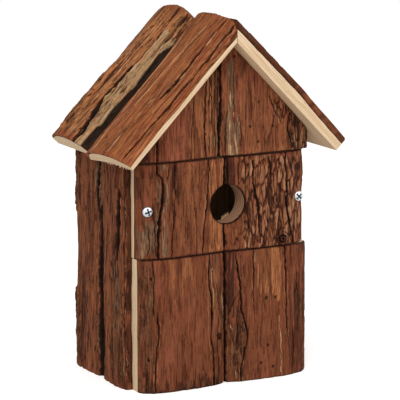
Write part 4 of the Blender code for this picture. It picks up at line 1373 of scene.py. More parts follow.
@dataclass
class BarkSlab:
    """One log slab with its bark on, which stands for a CAD slab.

    It takes its place, width and length from the CAD slab. Thicknesses are millimetres over
    the sawn back.
    """

    node: str
    lie: Lie
    low_edge: float
    high_edge: float
    low_form: EdgeForm
    high_form: EdgeForm
    foot_crown: float
    head_crown: float
    bark_depths: tuple[float, float, float]
    seed: int
    marks: tuple = ()
    cuts: tuple[SawCut, ...] = ()
    bores: tuple[Bore, ...] = ()
    rugged: float = 0.8
    sunk_shaded_ends: float = 0.0
    belly: float = 0.0
    blunt_head: float = 0.0
    knocked: tuple[SawCut, ...] = ()
    slant: float = 0.0

    SKIN, WOOD, BAND, BORED = 0, 1, 2, 3
    COLUMN_STEP, ROW_STEP, EVEN_SHARE = 0.38, 0.75, 0.35
    BACK_SLANT_SHARE = 0.33
    CUT_SPARE = 1.5

    # Height, width and length of each wave, in millimetres: the long edges, the crown, and the
    # line where the bark meets the wood, which the bark never bares
    EDGE_WAVE, CROWN_WAVE, WOOD_WAVE = (0.9, 40.0, 17.0), (1.1, 15.0, 48.0), (0.9, 9.0, 16.0)
    THINNEST_BARK, THINNING_SHARE, BLUNT_FROM_SHARE = 0.25, 0.12, 0.55

    # How far wear, the sunk ends with their painted shade, a bore's sunk rim with its painted shadow and
    # the crumbled edges reach, how deep they go, and how dark the painted shade along the seam is
    WORN_REACH, END_REACH, RIM_REACH, CHIP_REACH = 9.0, 0.9, 0.9, 2.0
    RIM_DEPTH, CHIP_DEPTH, SEAM_SHADE = 0.8, 1.1, 0.75
    WIDE_BORE = 20.0

    # Room for relief on open bark, and how far each slab's patterns lie from the next slab's
    OPEN_ROOM, EDGE_ROOM, PATTERN_SHIFT = 7.0, 0.2, 400.0

    def __post_init__(self) -> None:
        """Measures the CAD slab."""
        places = self.lie.to_face(coordinates(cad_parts[self.node].data))
        self.low, self.high = places.min(0), places.max(0)
        if self.cuts:
            self.high[1] += self.CUT_SPARE
        self.back_slant = self.slant * self.BACK_SLANT_SHARE

    def section(self, u: np.ndarray, v: np.ndarray) -> np.ndarray:
        """The height of the bark at each place, before its relief.

        Args:
            u, v: places across and along the grain.

        Returns:
            Heights over the datum in millimetres.
        """
        across = np.clip((u - self.low[0]) / (self.high[0] - self.low[0]), 0, 1)
        along = np.clip((v - self.low[1]) / (self.high[1] - self.low[1]), 0, 1)
        edge = self.low_edge + (self.high_edge - self.low_edge) * across
        height, *size = self.EDGE_WAVE
        edge = edge + height * (face_noise(u, v, *size, self.seed + 31) - 0.5)
        crown = self.foot_crown + (self.head_crown - self.foot_crown) * along
        height, *size = self.CROWN_WAVE
        crown = crown + height * (face_noise(u, v, *size, self.seed + 37) - 0.5)
        swell = 4 * self.belly * along * (1 - along)
        crown, edge = crown + swell, edge + swell
        rise = np.where(across < 0.5, self.rise(across, self.low_form), self.rise(across, self.high_form))
        blunt = smooth((along - self.BLUNT_FROM_SHARE) / (1 - self.BLUNT_FROM_SHARE))
        rise = rise + (self.rise(across, EdgeForm.BLUNT) - rise) * self.blunt_head * blunt
        return self.low[2] + edge + (crown - edge) * rise

    @staticmethod
    def rise(across: np.ndarray, form: EdgeForm) -> np.ndarray:
        """The share of the way from the edge's thickness to the crown's."""
        power, root = form.value
        return (1 - np.abs(2 * across - 1) ** power) ** root

    def wood_line(self, u: np.ndarray, v: np.ndarray) -> np.ndarray:
        """The height at which the bark meets the wood.

        Args:
            u, v: places across and along the grain.

        Returns:
            Heights over the datum in millimetres.
        """
        across = (u - self.low[0]) / (self.high[0] - self.low[0])
        depth = np.interp(across, (0.0, self.THINNING_SHARE, 0.5, 1 - self.THINNING_SHARE, 1.0),
                          np.take(self.bark_depths, (0, 1, 1, 1, 2)))
        height, *size = self.WOOD_WAVE
        wander = height * (grain_noise(u, v, *size, self.seed + 41) - 0.5)
        bark = np.maximum(depth + wander, self.THINNEST_BARK)
        return np.maximum(self.section(u, v) - bark, self.low[2])

    def skin_grid(self) -> np.ndarray:
        """Lays the grid of the bark's points, closer where the bark bends down to its edges.

        Returns:
            Places on the face, as rows along the grain of columns across it.
        """
        width, length = self.high[0] - self.low[0], self.high[1] - self.low[1]
        across = np.linspace(0, 1, round(width / self.COLUMN_STEP) + 1)
        across = (self.EVEN_SHARE * across + (1 - self.EVEN_SHARE) * (1 - np.cos(math.pi * across)) / 2)
        along = np.linspace(0, 1, round(length / self.ROW_STEP) + 1)
        u, v = np.meshgrid(self.low[0] + width * across, self.low[1] + length * along)
        v -= self.slant * (1 - across) * along[::-1, None]
        return np.stack([u, v, self.section(u, v)], axis=-1)

    def shell(self) -> Object:
        """Lofts the bark over the sawn back, closes it all round and saws it.

        Returns:
            A closed shell whose faces are marked as bark, sawn wood or bark's edge.
        """
        grid = self.skin_grid()
        rows, columns = grid.shape[0] - 1, grid.shape[1] - 1
        skin = grid.reshape(-1, 3)
        number = np.arange(len(skin)).reshape(rows + 1, columns + 1)
        border = np.concatenate([number[0], number[1:, -1], number[-1, -2::-1], number[-2:0:-1, 0]])
        rim = skin[border].copy()
        rim[:, 2] = self.wood_line(rim[:, 0], rim[:, 1])
        (left, foot, back), (right, head, _) = self.low, self.high
        corners = np.array([(left, foot - self.back_slant, back), (right, foot, back),
                            (right, head, back), (left, head, back)])
        faces = np.stack([number[:-1, :-1], number[:-1, 1:], number[1:, 1:], number[1:, :-1]],
                         axis=-1).reshape(-1, 4).tolist()
        kinds = [self.SKIN] * len(faces)
        lines = len(skin) + np.arange(len(border))
        faces += np.stack([border, np.roll(border, -1), np.roll(lines, -1), lines], axis=-1).tolist()
        kinds += [self.BAND] * len(border)
        corner = (len(skin) + len(border) + np.arange(4)).tolist()
        stops = np.cumsum([0, columns, rows, columns, rows])
        for side in range(4):
            span = np.arange(stops[side], stops[side + 1] + 1) % len(lines)
            faces.append(lines[span].tolist() + [corner[(side + 1) % 4], corner[side]])
        faces.append(corner)
        kinds += [self.WOOD] * 5
        mesh = bpy.data.meshes.new(self.node)
        mesh.from_pydata(self.lie.to_frame(np.concatenate([skin, rim, corners])).tolist(), [], faces)
        mesh.polygons.foreach_set("material_index", kinds)
        bm = bmesh.new()
        bm.from_mesh(mesh)
        bpy.data.meshes.remove(mesh)
        bmesh.ops.recalc_face_normals(bm, faces=bm.faces)
        for cut in (*self.cuts, *self.knocked):
            self.saw(bm, cut)
        return mesh_object(f"barked_{self.node}", bm)

    def saw(self, bm: bmesh.types.BMesh, cut: SawCut) -> None:
        """Saws the shell along a plane and closes it.

        Args:
            bm: the shell.
            cut: the plane. Where it is mitred, its face counts as bark's edge.
        """
        everything = bm.verts[:] + bm.edges[:] + bm.faces[:]
        result = bmesh.ops.bisect_plane(
            bm, geom=everything, dist=WELD, plane_co=cut.point, plane_no=cut.normal, clear_outer=True)
        rim = [e for e in result["geom_cut"] if isinstance(e, bmesh.types.BMEdge) and e.is_boundary]
        for face in bmesh.ops.holes_fill(bm, edges=rim)["faces"]:
            face.material_index = self.BAND if cut.mitred else self.WOOD

    def face_kinds(self, mesh: Mesh) -> np.ndarray:
        """Tells the kind of each face after all cuts.

        Args:
            mesh: the slab's mesh.

        Returns:
            Their kinds. A bore's wall is bark's edge where it passes through the bark.
        """
        kinds = np.array([polygon.material_index for polygon in mesh.polygons])
        centres = self.lie.to_face(np.array([polygon.center for polygon in mesh.polygons]))
        above = centres[:, 2] > self.wood_line(centres[:, 0], centres[:, 1])
        kinds[(kinds == self.BORED) & above] = self.BAND
        return kinds

    def painted(self, points: np.ndarray, u: np.ndarray, v: np.ndarray) -> Canvas:
        """Paints the marks, and sinks the ends and the wide bores' rims, whose grooves give them painted
        shade.

        Args:
            points: the slab's points in the frame.
            u, v: their places across and along the grain.

        Returns:
            The slab's canvas. A mitre has no grooves, so that it stays tight.
        """
        canvas = Canvas(u, v, self.seed * 100)
        for mark in self.marks:
            mark.paint(canvas)
            canvas.seed += 1
        # Painted shade where the slabs meet: the sawn ends are sunk and darkened by their groove
        canvas.carve(self.sunk_shaded_ends * smooth(1.3 - self.from_end(v) / self.END_REACH))
        # Painted shadow round each wide bore: its rim is sunk and darkened by its groove
        for bore in self.bores:
            if bore.diameter > self.WIDE_BORE:
                from_rim = np.abs(np.hypot(u - bore.x, v - bore.z) - bore.diameter / 2)
                canvas.carve(self.RIM_DEPTH * smooth(1.4 - from_rim / self.RIM_REACH))
        for cut in self.cuts:
            if cut.mitred:
                below = np.abs((points - np.array(cut.point)) @ cut.normal) / MM
                canvas.groove *= smooth(below / self.WORN_REACH * 4)
        return canvas

    def from_end(self, v: np.ndarray) -> np.ndarray:
        """How far places are from the nearer sawn end."""
        return np.minimum(v - self.low[1], self.high[1] - v)

    def carry_marks(self, mesh: Mesh) -> None:
        """Stores the bark's marks on the mesh, for its relief and its colours.

        Args:
            mesh: the slab's mesh after all cuts.
        """
        points = coordinates(mesh)
        u, v, w = self.lie.to_face(points).T
        kinds = self.face_kinds(mesh)
        skin, edge, aged = (np.zeros(len(points)) for _ in range(3))
        for polygon, kind in zip(mesh.polygons, kinds):
            corners = list(polygon.vertices)
            (skin if kind == self.SKIN else edge)[corners] = 1
            if kind == self.BORED:
                aged[corners] = 1
        canvas = self.painted(points, u, v)
        shape = canvas.lift - canvas.groove - self.chips(u, v)
        for tone, values in canvas.tones.items():
            shape += LIFTS.get(tone, 0.0) * values
            put(mesh, tone.value, values)
        over_wood = np.maximum(w - self.wood_line(u, v) - self.EDGE_ROOM, 0.0)
        room = np.where((edge > 0) & (skin > 0), over_wood, self.OPEN_ROOM)
        middle = (self.low[0] + self.high[0]) / 2
        grain = np.stack([u - middle, v + self.seed * self.PATTERN_SHIFT, w - self.low[2]], axis=-1)
        worn = smooth(self.from_end(v) / self.WORN_REACH)
        rugged = self.rugged * (0.4 + 0.6 * worn) * (1 + 0.8 * canvas.tones[Tone.CRUST])
        rugged *= 1 - 0.55 * canvas.tones[Tone.GREY]
        seam = (edge > 0) & (skin == 0)
        canvas.groove[seam] = np.maximum(canvas.groove[seam], self.SEAM_SHADE)
        for name, values in (("grain", grain), ("skin", skin), ("shape", shape),
                             ("groove", canvas.groove), ("room", room), ("aged", aged),
                             ("rugged", rugged)):
            put(mesh, name, values)
        sawn = mesh.attributes.new("sawn", "BOOLEAN", "FACE")
        sawn.data.foreach_set("value", (kinds == self.WOOD) | (kinds == self.BORED))

    def chips(self, u: np.ndarray, v: np.ndarray) -> np.ndarray:
        """How much bark has crumbled off along the sawn edges and ends.

        Args:
            u, v: places across and along the grain.

        Returns:
            Depths in millimetres.
        """
        from_edge = np.minimum.reduce(
            [u - self.low[0], self.high[0] - u, v - self.low[1] + 1, self.high[1] - v + 1])
        crumbled = smooth((face_noise(u, v, 4.0, 5.0, self.seed + 53) - 0.45) / 0.3)
        return self.CHIP_DEPTH * crumbled * smooth(1 - from_edge / self.CHIP_REACH)

    def build(self, relief: BarkRelief, tree: NodeTree, bark: Material, wood: Material,
              body: str) -> Object:
        """Makes the slab.

        Args:
            relief: the sizes of the bark's relief.
            tree: the Geometry Nodes tree that raises it.
            bark: the bark's material.
            wood: the material of the sawn faces.
            body: the CAD body that the slab rides on.

        Returns:
            The finished slab.
        """
        piece = self.shell()
        if self.bores:
            cut_away(piece, [bore.cutter() for bore in self.bores])
        self.carry_marks(piece.data)
        grow(piece, tree, dict(relief.values(), Outward=self.lie.outward, Bark=bark, Wood=wood))
        piece.data.shade_smooth()
        piece.data.set_sharp_from_angle(angle=math.radians(48))
        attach(piece, body)
        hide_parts(self.node)
        LOG.info("%s: %d faces", piece.name, len(piece.data.polygons))
        return piece

    def surface_point(self, across: float, along: float) -> Vector:
        """Finds a point on the bark, before its relief.

        Args:
            across, along: its place on the face.

        Returns:
            The point in the frame.
        """
        u, v = np.array([across]), np.array([along])
        place = np.stack([u, v, self.section(u, v)], axis=-1)
        return Vector(self.lie.to_frame(place)[0])


@dataclass
class Carcass:
    """The fixed part of the box: walls, lower front, gable, roof, boards and strips."""

    body: str = "house"
    wall_edges: tuple[float, float, float, float] = (7.0, 14.5, 15.5, 14.2)
    wall_crowns: tuple[float, float] = (19.3, 17.6)
    front_edge: float = 9.0
    front_joint_edge: float = 13.4
    lower_crowns: tuple[float, float] = (21.4, 17.0)
    gable_crown: float = 17.6
    roof_rear_crowns: tuple[float, float] = (17.2, 12.4)
    roof_front_crowns: tuple[float, float] = (14.0, 11.8)
    roof_edges: tuple[float, float, float, float] = (5.6, 4.6, 4.0, 11.6)
    bark: float = 3.0
    knock_middle: tuple[float, float] = (65.2, 7.5)
    knock_radius: float = 7.5
    knock_turns: tuple[float, ...] = (-72.0, -45.0, -18.0)

    def __post_init__(self) -> None:
        """Works out the roof's planes from the CAD back board, which reaches to the ridge."""
        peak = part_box("back_board")[1].z + SEAT_GAP * MM / math.cos(ROOF_PITCH)
        self.apex = Vector((0, 0, peak))
        self.sine, self.cosine = math.sin(ROOF_PITCH), math.cos(ROOF_PITCH)
        under_ridge = self.apex - Vector((0, 0, SEAT_GAP * MM / self.cosine))
        self.slopes = {
            sign: SawCut(under_ridge, Vector((sign * self.sine, 0, self.cosine))) for sign in (-1, 1)}

    def wall_slabs(self) -> list[BarkSlab]:
        """Lays out the two slabs of each side wall.

        Returns:
            The slabs, the left wall's first.
        """
        rear_edge, joint_edge, *front_edges = self.wall_edges
        shank = {side: shank_bore(f"screw_{side}") for side in ("left", "right")}
        marks = {
            ("left", "rear"): LEFT_WALL_REAR_MARKS, ("left", "front"): LEFT_WALL_FRONT_MARKS,
            ("right", "rear"): wild(-52, 2, 0, 200, 71), ("right", "front"): wild(4, 43, 0, 200, 72)}
        slabs = []
        for number, (side, sign) in enumerate((("left", -1), ("right", 1))):
            lie = Lie(Vector((0, -1, 0)), Vector((0, 0, 1)), Vector((sign, 0, 0)))
            slabs.append(BarkSlab(f"{side}_wall_rear_slab", lie, rear_edge, joint_edge,
                                  EdgeForm.WANEY, EdgeForm.SAWN, *self.wall_crowns,
                                  (2.0, 3.0, 3.0), 11 + 10 * number, marks[side, "rear"],
                                  (self.slopes[sign],), rugged=1.5))
            slabs.append(BarkSlab(f"{side}_wall_front_slab", lie, joint_edge,
                                  front_edges[number], EdgeForm.SAWN, EdgeForm.SAWN,
                                  *self.wall_crowns,
                                  (3.0, 3.0, 3.6), 12 + 10 * number, marks[side, "front"],
                                  (self.slopes[sign],), (shank[side],), rugged=1.5))
        return slabs

    def knocked_corner(self) -> tuple[SawCut, ...]:
        """Rounds the lower front's bottom right corner.

        Returns:
            Flats round the corner.
        """
        centre = Vector((self.knock_middle[0] * MM, 0, self.knock_middle[1] * MM))
        turns = [math.radians(turn) for turn in self.knock_turns]
        sides = [Vector((math.cos(turn), 0, math.sin(turn))) for turn in turns]
        return tuple(SawCut(centre + self.knock_radius * MM * side, side, mitred=True) for side in sides)

    def front_slabs(self) -> list[BarkSlab]:
        """Lays out the slabs of the lower front and the gable.

        Returns:
            The slabs, each pair's left one first.
        """
        sides = (self.front_edge, self.front_joint_edge)
        both = (self.slopes[-1], self.slopes[1])
        sawn = (EdgeForm.SAWN, EdgeForm.SAWN)
        crowns = (self.gable_crown, self.gable_crown)
        bark = (self.bark,) * 3
        return [
            BarkSlab("front_lower_left_slab", FRONT_LIE, *sides, *sawn, *self.lower_crowns,
                     (0.7, self.bark, self.bark), 31, LOWER_LEFT_MARKS, rugged=0.6,
                     sunk_shaded_ends=0.9),
            BarkSlab("front_lower_right_slab", FRONT_LIE, *sides[::-1], *sawn, *self.lower_crowns,
                     bark, 32, LOWER_RIGHT_MARKS, rugged=0.85, sunk_shaded_ends=0.9,
                     knocked=self.knocked_corner()),
            BarkSlab("gable_left_slab", FRONT_LIE, *sides, *sawn, *crowns, bark, 33,
                     GABLE_LEFT_MARKS, both, rugged=0.9, sunk_shaded_ends=1.0),
            BarkSlab("gable_right_slab", FRONT_LIE, *sides[::-1], *sawn, *crowns, bark, 34,
                     GABLE_RIGHT_MARKS, both, rugged=1.1, sunk_shaded_ends=1.0),
        ]

    def roof_slabs(self) -> list[BarkSlab]:
        """Lays out the two slabs of each side of the roof.

        Returns:
            The slabs, the left side's first.
        """
        rear_edge, joint_edge, left_front_edge, right_front_edge = self.roof_edges
        marks = {
            ("left", "rear"): ROOF_LEFT_REAR_MARKS, ("left", "front"): ROOF_LEFT_FRONT_MARKS,
            ("right", "rear"): wild(-52, 8, -125, 12, 73), ("right", "front"): ROOF_RIGHT_FRONT_MARKS}
        # Front edge and its form, bark depth there, belly, ruggedness and slant of the eave end
        fronts = {"left": (left_front_edge, EdgeForm.WANEY, 0.6, 0.0, 1.0, 3.6),
                  "right": (right_front_edge, EdgeForm.SAWN, 5.0, 1.2, 0.4, 0.0)}
        slabs = []
        for number, (side, sign) in enumerate((("left", -1), ("right", 1))):
            upslope = Vector((-sign * self.cosine, 0, self.sine))
            outward = Vector((sign * self.sine, 0, self.cosine))
            lie = Lie(Vector((0, -1, 0)), upslope, outward, self.apex)
            mitre = SawCut(Vector((sign * SEAT_GAP / 2 * MM, 0, 0)), Vector((-sign, 0, 0)), mitred=True)
            front_edge, form, front_bark, belly, rugged, slant = fronts[side]
            slabs.append(BarkSlab(f"roof_{side}_rear_slab", lie, rear_edge, joint_edge,
                                  EdgeForm.WANEY, EdgeForm.WANEY, *self.roof_rear_crowns,
                                  (1.6, 2.6, 5.5), 51 + 10 * number, marks[side, "rear"],
                                  (mitre,), rugged=1.5))
            slabs.append(BarkSlab(f"roof_{side}_front_slab", lie, joint_edge, front_edge,
                                  EdgeForm.WANEY, form, *self.roof_front_crowns,
                                  (5.5, 2.4, front_bark), 52 + 10 * number,
                                  marks[side, "front"], (mitre,), rugged=rugged,
                                  belly=belly, blunt_head=0.9, slant=slant))
        return slabs

    def boards(self) -> dict[str, Grain]:
        """The CAD boards and strips, and the way that each one's grain runs."""
        return {
            "floor_board": Grain.ALONG_X, "back_board": Grain.ALONG_Z, "eave_strip_left": Grain.ALONG_Y,
            "eave_strip_right": Grain.ALONG_Y, "ridge_strip": Grain.ALONG_Y, "sill_rail": Grain.ALONG_X,
            "gable_rail": Grain.ALONG_X}


@dataclass
class Door:
    """The front panel that comes off: two slabs and the battens behind them."""

    body: str = "door"
    edge: float = 9.0
    joint_edge: float = 13.4
    crown: float = 17.4
    bark: float = 3.0
    left_bark: float = 4.6

    def entry(self) -> Bore:
        """Finds the entry hole, at half the door's height.

        Returns:
            The hole.
        """
        low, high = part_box("door_left_slab")
        middle = (low.z + high.z) / 2 / MM
        return Bore(ENTRY_HOLE_RIGHT, middle, low.y / MM - ENTRY_SPARE,
                    high.y / MM + ENTRY_SPARE, ENTRY_HOLE_DIAMETER)

    def slabs(self) -> list[BarkSlab]:
        """Lays out the door's two slabs, with the entry hole and the screws' seats.

        Returns:
            The left slab and the right one.
        """
        edges = (self.edge, self.joint_edge)
        sawn, crowns = (EdgeForm.SAWN, EdgeForm.SAWN), (self.crown, self.crown)
        bores = {side: (self.entry(), seat_bore(f"screw_{side}"), shank_bore(f"screw_{side}"))
                 for side in ("left", "right")}
        return [
            BarkSlab("door_left_slab", FRONT_LIE, *edges, *sawn, *crowns,
                     (self.left_bark, self.bark, self.bark), 41, DOOR_LEFT_MARKS,
                     bores=bores["left"], rugged=1.1, sunk_shaded_ends=1.0),
            BarkSlab("door_right_slab", FRONT_LIE, *edges[::-1], *sawn, *crowns, (self.bark,) * 3,
                     42, DOOR_RIGHT_MARKS, bores=bores["right"], rugged=1.3, sunk_shaded_ends=1.0),
        ]

    def boards(self) -> dict[str, Grain]:
        """The battens, and the way that their grain runs."""
        return {"door_batten_lower": Grain.ALONG_X, "door_batten_upper": Grain.ALONG_X}


def dress(node: str, material: Material) -> None:
    """Puts a material on a CAD node.

    Args:
        node: the node's name.
        material: its material.
    """
    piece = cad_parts[node]
    piece.data.materials.clear()
    piece.data.materials.append(material)
    LOG.info("%s: %s", node, material.name)


def screw_centre(node: str) -> tuple[float, float, float, float]:
    """A screw's X and Z, and the Y of its head's underside and of its point, in mm."""
    low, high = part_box(node)
    return ((low.x + high.x) / 2 / MM, (low.z + high.z) / 2 / MM, low.y / MM + HEAD_HEIGHT, high.y / MM)


def shank_bore(node: str) -> Bore:
    """The hole that a screw's shank passes through."""
    x, z, seat, point = screw_centre(node)
    return Bore(x, z, seat - SHANK_SPARE, point + SEAT_GAP, SHANK_HOLE_DIAMETER, sides=24)


def seat_bore(node: str) -> Bore:
    """The spot-faced seat under a screw's head."""
    x, z, seat, _ = screw_centre(node)
    return Bore(x, z, seat - SEAT_SPARE, seat + SEAT_GAP, HEAD_DIAMETER + 2 * SEAT_GAP, sides=40)


@dataclass
class PanHeadScrew:
    """A pan-head wood screw with a cross recess, in millimetres along its axis."""

    node: str
    body: str
    turn: float
    shank_diameter: float = 3.8
    root_diameter: float = 2.5
    plain_length: float = 7.0
    thread_pitch: float = 1.8
    point_length: float = 5.0
    recess_span: float = 5.0
    recess_wing: float = 1.1
    recess_depth: float = 1.9
    head_sides: int = 64

    # The dome: its power, its steps and its edge's height as a share of the head's
    DOME_POWER, DOME_STEPS, DOME_EDGE_SHARE = 0.9, 14, 0.35
    # Width and height of the chamfer round the head's underside, in two steps
    CHAMFER = ((0.1, 0.12), (0.3, 0.0))
    # The plain shank is thinner than the thread's crests, and steps down to its root
    PLAIN_SHARE, STEP_DOWN = 0.86, 0.8
    # The cross: how its inner corners and its ends at the bottom and the top are scaled
    CORNER_SHARE, BOTTOM_SHARE, TOP_SHARE = 1.25, 0.42, 1.5
    # What the thread leaves free, and how far the recess's painted shade reaches: as shares of its arms,
    # from under the rim down to its floor
    THREAD_SPARE = 0.6
    DARK_WING_SHARE, DARK_SPAN_SHARE, DARK_UNDER_RIM, DARK_FLOOR = 0.8, 0.56, 0.25, 0.1

    def __post_init__(self) -> None:
        """Reads the screw's place and length from its CAD node."""
        self.x, self.z, self.seat, point = screw_centre(self.node)
        self.length = point - self.seat

    def profile(self) -> list[tuple[float, float]]:
        """Draws half of the screw's outline.

        Returns:
            Radius and height from the top of the head to the point.
        """
        head, edge = HEAD_DIAMETER / 2, HEAD_HEIGHT * self.DOME_EDGE_SHARE
        arc = [math.pi / 2 * i / self.DOME_STEPS for i in range(self.DOME_STEPS + 1)]
        dome = [(head * math.sin(a) ** self.DOME_POWER,
                 edge + (HEAD_HEIGHT - edge) * math.cos(a)) for a in arc]
        under = [(head - inset, height) for inset, height in self.CHAMFER]
        shank, root = self.shank_diameter / 2 * self.PLAIN_SHARE, self.root_diameter / 2
        return dome + under + [
            (shank, 0.0), (shank, -self.plain_length), (root, -self.plain_length - self.STEP_DOWN),
            (root, -self.length + self.point_length), (0.0, -self.length)]

    def blank(self) -> Object:
        """Turns the head and the shank in one piece.

        Returns:
            The screw without its thread and its recess, upright at the origin.
        """
        bm = bmesh.new()
        points = [bm.verts.new((radius * MM, 0, z * MM)) for radius, z in self.profile()]
        edges = [bm.edges.new(pair) for pair in zip(points, points[1:])]
        bmesh.ops.spin(bm, geom=points + edges, cent=(0, 0, 0), axis=(0, 0, 1),
                       angle=2 * math.pi, steps=self.head_sides, use_merge=True)
        bmesh.ops.remove_doubles(bm, verts=bm.verts, dist=WELD)
        bmesh.ops.recalc_face_normals(bm, faces=bm.faces)
        return mesh_object(f"threaded_{self.node}", bm)

    def recess(self) -> Object:
        """Makes the tapered cross that the driver fits.

        Returns:
            The cross as a cutter.
        """
        far, near = self.recess_span / 2, self.recess_wing / 2
        corner = near * self.CORNER_SHARE
        arm = [(far, near), (corner, corner), (near, far)]
        outline = []
        for _ in range(4):
            outline += arm
            arm = [(-y, x) for x, y in arm]
        levels = ((HEAD_HEIGHT - self.recess_depth, self.BOTTOM_SHARE),
                  (HEAD_HEIGHT + self.recess_depth, self.TOP_SHARE))
        return loft("recess", [[(x * share * MM, y * share * MM, z * MM) for x, y in outline]
                               for z, share in levels])

    def thread_tree(self) -> NodeTree:
        """Builds the Geometry Nodes that wind the thread round the shank and join it on.

        Returns:
            The tree, with an input for each size.
        """
        tree, graph, given = new_tree("screw thread", {
            "Turns": "Float", "Start Radius": "Float", "Length": "Float",
            "Plain Length": "Float", "Crest": "Float", "Zinc": "Material"})
        down = graph.add("Math", [given["Length"], -1.0], "MULTIPLY")
        helix = graph.add("GeometryNodeCurveSpiral",
                          {"Resolution": 28, "Rotations": given["Turns"],
                           "Start Radius": given["Start Radius"],
                           "End Radius": given["Start Radius"], "Height": down})
        along = graph.add("GeometryNodeSplineParameter")

        # The thread starts shallow and runs out thin over the point, its last fifth
        fade = graph.add("MapRange", [along, 0.80, 1.0, 1.0, 0.25])
        start = graph.add("MapRange", [along, 0.0, 0.05, 0.1, 1.0])
        size = graph.add("Math", [fade, start], "MULTIPLY")
        drop = graph.add("Math", [given["Plain Length"], -1.0], "MULTIPLY")
        shift = graph.add("CombineXYZ", [0.0, 0.0, drop])
        spot = graph.add("GeometryNodeInputPosition")
        narrow = graph.add("CombineXYZ", [fade, fade, 1.0])
        tapered = graph.add("VectorMath", [spot, narrow, shift], "MULTIPLY_ADD")
        helix = graph.add("GeometryNodeSetPosition", {"Geometry": helix, "Position": tapered})
        profile = graph.add(
            "GeometryNodeCurvePrimitiveCircle", {"Resolution": 4, "Radius": given["Crest"]})
        ridge = graph.add(
            "GeometryNodeCurveToMesh",
            {"Curve": helix, "Profile Curve": profile, "Scale": size, "Fill Caps": True})
        joined = graph.add("GeometryNodeJoinGeometry")
        tree.links.new(given["Geometry"], joined.node.inputs[0])
        tree.links.new(ridge, joined.node.inputs[0])
        whole = graph.add("GeometryNodeRealizeInstances", {"Geometry": joined})
        whole = graph.add("GeometryNodeSetMaterial", {"Geometry": whole, "Material": given["Zinc"]})
        graph.add("NodeGroupOutput", [whole])
        return tree

    def build(self, zinc: Material) -> Object:
        """Makes the screw in its place.

        Args:
            zinc: its material.

        Returns:
            The finished screw.
        """
        piece = self.blank()
        cut_away(piece, [self.recess()])
        self.mark_recess(piece.data)
        threaded = self.length - self.plain_length - self.THREAD_SPARE
        values = {
            "Turns": threaded / self.thread_pitch, "Length": threaded * MM,
            "Start Radius": self.root_diameter / 2 * MM, "Plain Length": self.plain_length * MM,
            "Crest": (self.shank_diameter - self.root_diameter) / 2 * MM, "Zinc": zinc}
        grow(piece, self.thread_tree(), values)
        sine, cosine = math.sin(self.turn), math.cos(self.turn)
        axes = Matrix(((cosine, 0, sine), (-sine, 0, cosine), (0, -1, 0))).transposed()
        place = axes.to_4x4()
        place.translation = Vector((self.x, self.seat, self.z)) * MM
        piece.data.transform(place)
        piece.data.shade_smooth()
        piece.data.set_sharp_from_angle(angle=math.radians(35))
        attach(piece, self.body)
        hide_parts(self.node)
        LOG.info("%s: %d faces", piece.name, len(piece.data.polygons))
        return piece

    def mark_recess(self, mesh: Mesh) -> None:
        """Marks the points down in the recess, which get painted shade.

        Args:
            mesh: the screw's mesh, upright at the origin.
        """
        x, y, z = coordinates(mesh).T / MM
        arms = np.minimum(np.abs(x), np.abs(y)) < self.recess_wing * self.DARK_WING_SHARE
        inside = arms & (np.hypot(x, y) < self.recess_span * self.DARK_SPAN_SHARE)
        below_rim = (z < HEAD_HEIGHT - self.DARK_UNDER_RIM) & (z > self.DARK_FLOOR)
        put(mesh, "recess", np.where(inside & below_rim, 1.0, 0.0))


def studs(name: str, points: list[Vector], outs: list[Vector], width: float, height: float,
          finish: Material) -> Object:
    """Sets a tapered stud on every point with Geometry Nodes.

    Args:
        name: the piece's name.
        points: the places of the studs' feet, in metres.
        outs: which way each stud stands, as long as its share of the full size.
        width: the width of a full-size stud's foot, in millimetres.
        height: the height of a full-size stud, in millimetres.
        finish: the studs' material.

    Returns:
        All studs as one plain mesh.
    """
    tree, graph, given = new_tree(name, {"Foot Radius": "Float", "Height": "Float", "Finish": "Material"})
    taper, sides = 0.6, 14
    rim = graph.add("Math", [given["Foot Radius"], taper], "MULTIPLY")
    stud = graph.add("GeometryNodeMeshCone", {"Vertices": sides, "Radius Top": rim,
                                              "Radius Bottom": given["Foot Radius"],
                                              "Depth": given["Height"]})
    out = graph.add("GeometryNodeInputNamedAttribute", ["out"], data_type="FLOAT_VECTOR")
    turn = graph.add("FunctionNodeAlignRotationToVector", {"Vector": out}, axis="Z")
    share = graph.add("VectorMath", [out], output="Value", operation="LENGTH")
    whole = graph.add(
        "GeometryNodeInstanceOnPoints",
        {"Points": given["Geometry"], "Instance": stud, "Rotation": turn, "Scale": share})
    whole = graph.add("GeometryNodeRealizeInstances", {"Geometry": whole})
    whole = graph.add("GeometryNodeSetMaterial", {"Geometry": whole, "Material": given["Finish"]})
    graph.add("NodeGroupOutput", [whole])
    mesh = bpy.data.meshes.new(name)
    mesh.from_pydata(points, [], [])
    put(mesh, "out", np.array(outs))
    piece = bpy.data.objects.new(name, mesh)
    bpy.context.collection.objects.link(piece)
    grow(piece, tree, {"Foot Radius": width / 2 * MM, "Height": height * MM, "Finish": finish})
    LOG.info("%s: %d", name, len(points))
    return piece


@dataclass
class Brads:
    """The brads that nail the slabs, each at the bottom of its pit."""

    body: str = "house"
    head_diameter: float = 1.5
    head_height: float = 0.5
    sunk: float = 1.4

    def build(self, slabs: list[BarkSlab], steel: Material) -> Object:
        """Makes all brads as one piece.

        Args:
            slabs: the slabs whose marks hold the brads' places.
            steel: the brads' material.

        Returns:
            The finished brads.
        """
        points, outs = [], []
        for slab in slabs:
            for mark in slab.marks:
                if isinstance(mark, Spot):
                    surface = slab.surface_point(mark.across, mark.along)
                    points.append(surface - slab.lie.outward * self.sunk * MM)
                    outs.append(slab.lie.outward)
        piece = studs("brads", points, outs, self.head_diameter, self.head_height, steel)
        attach(piece, self.body)
        return piece


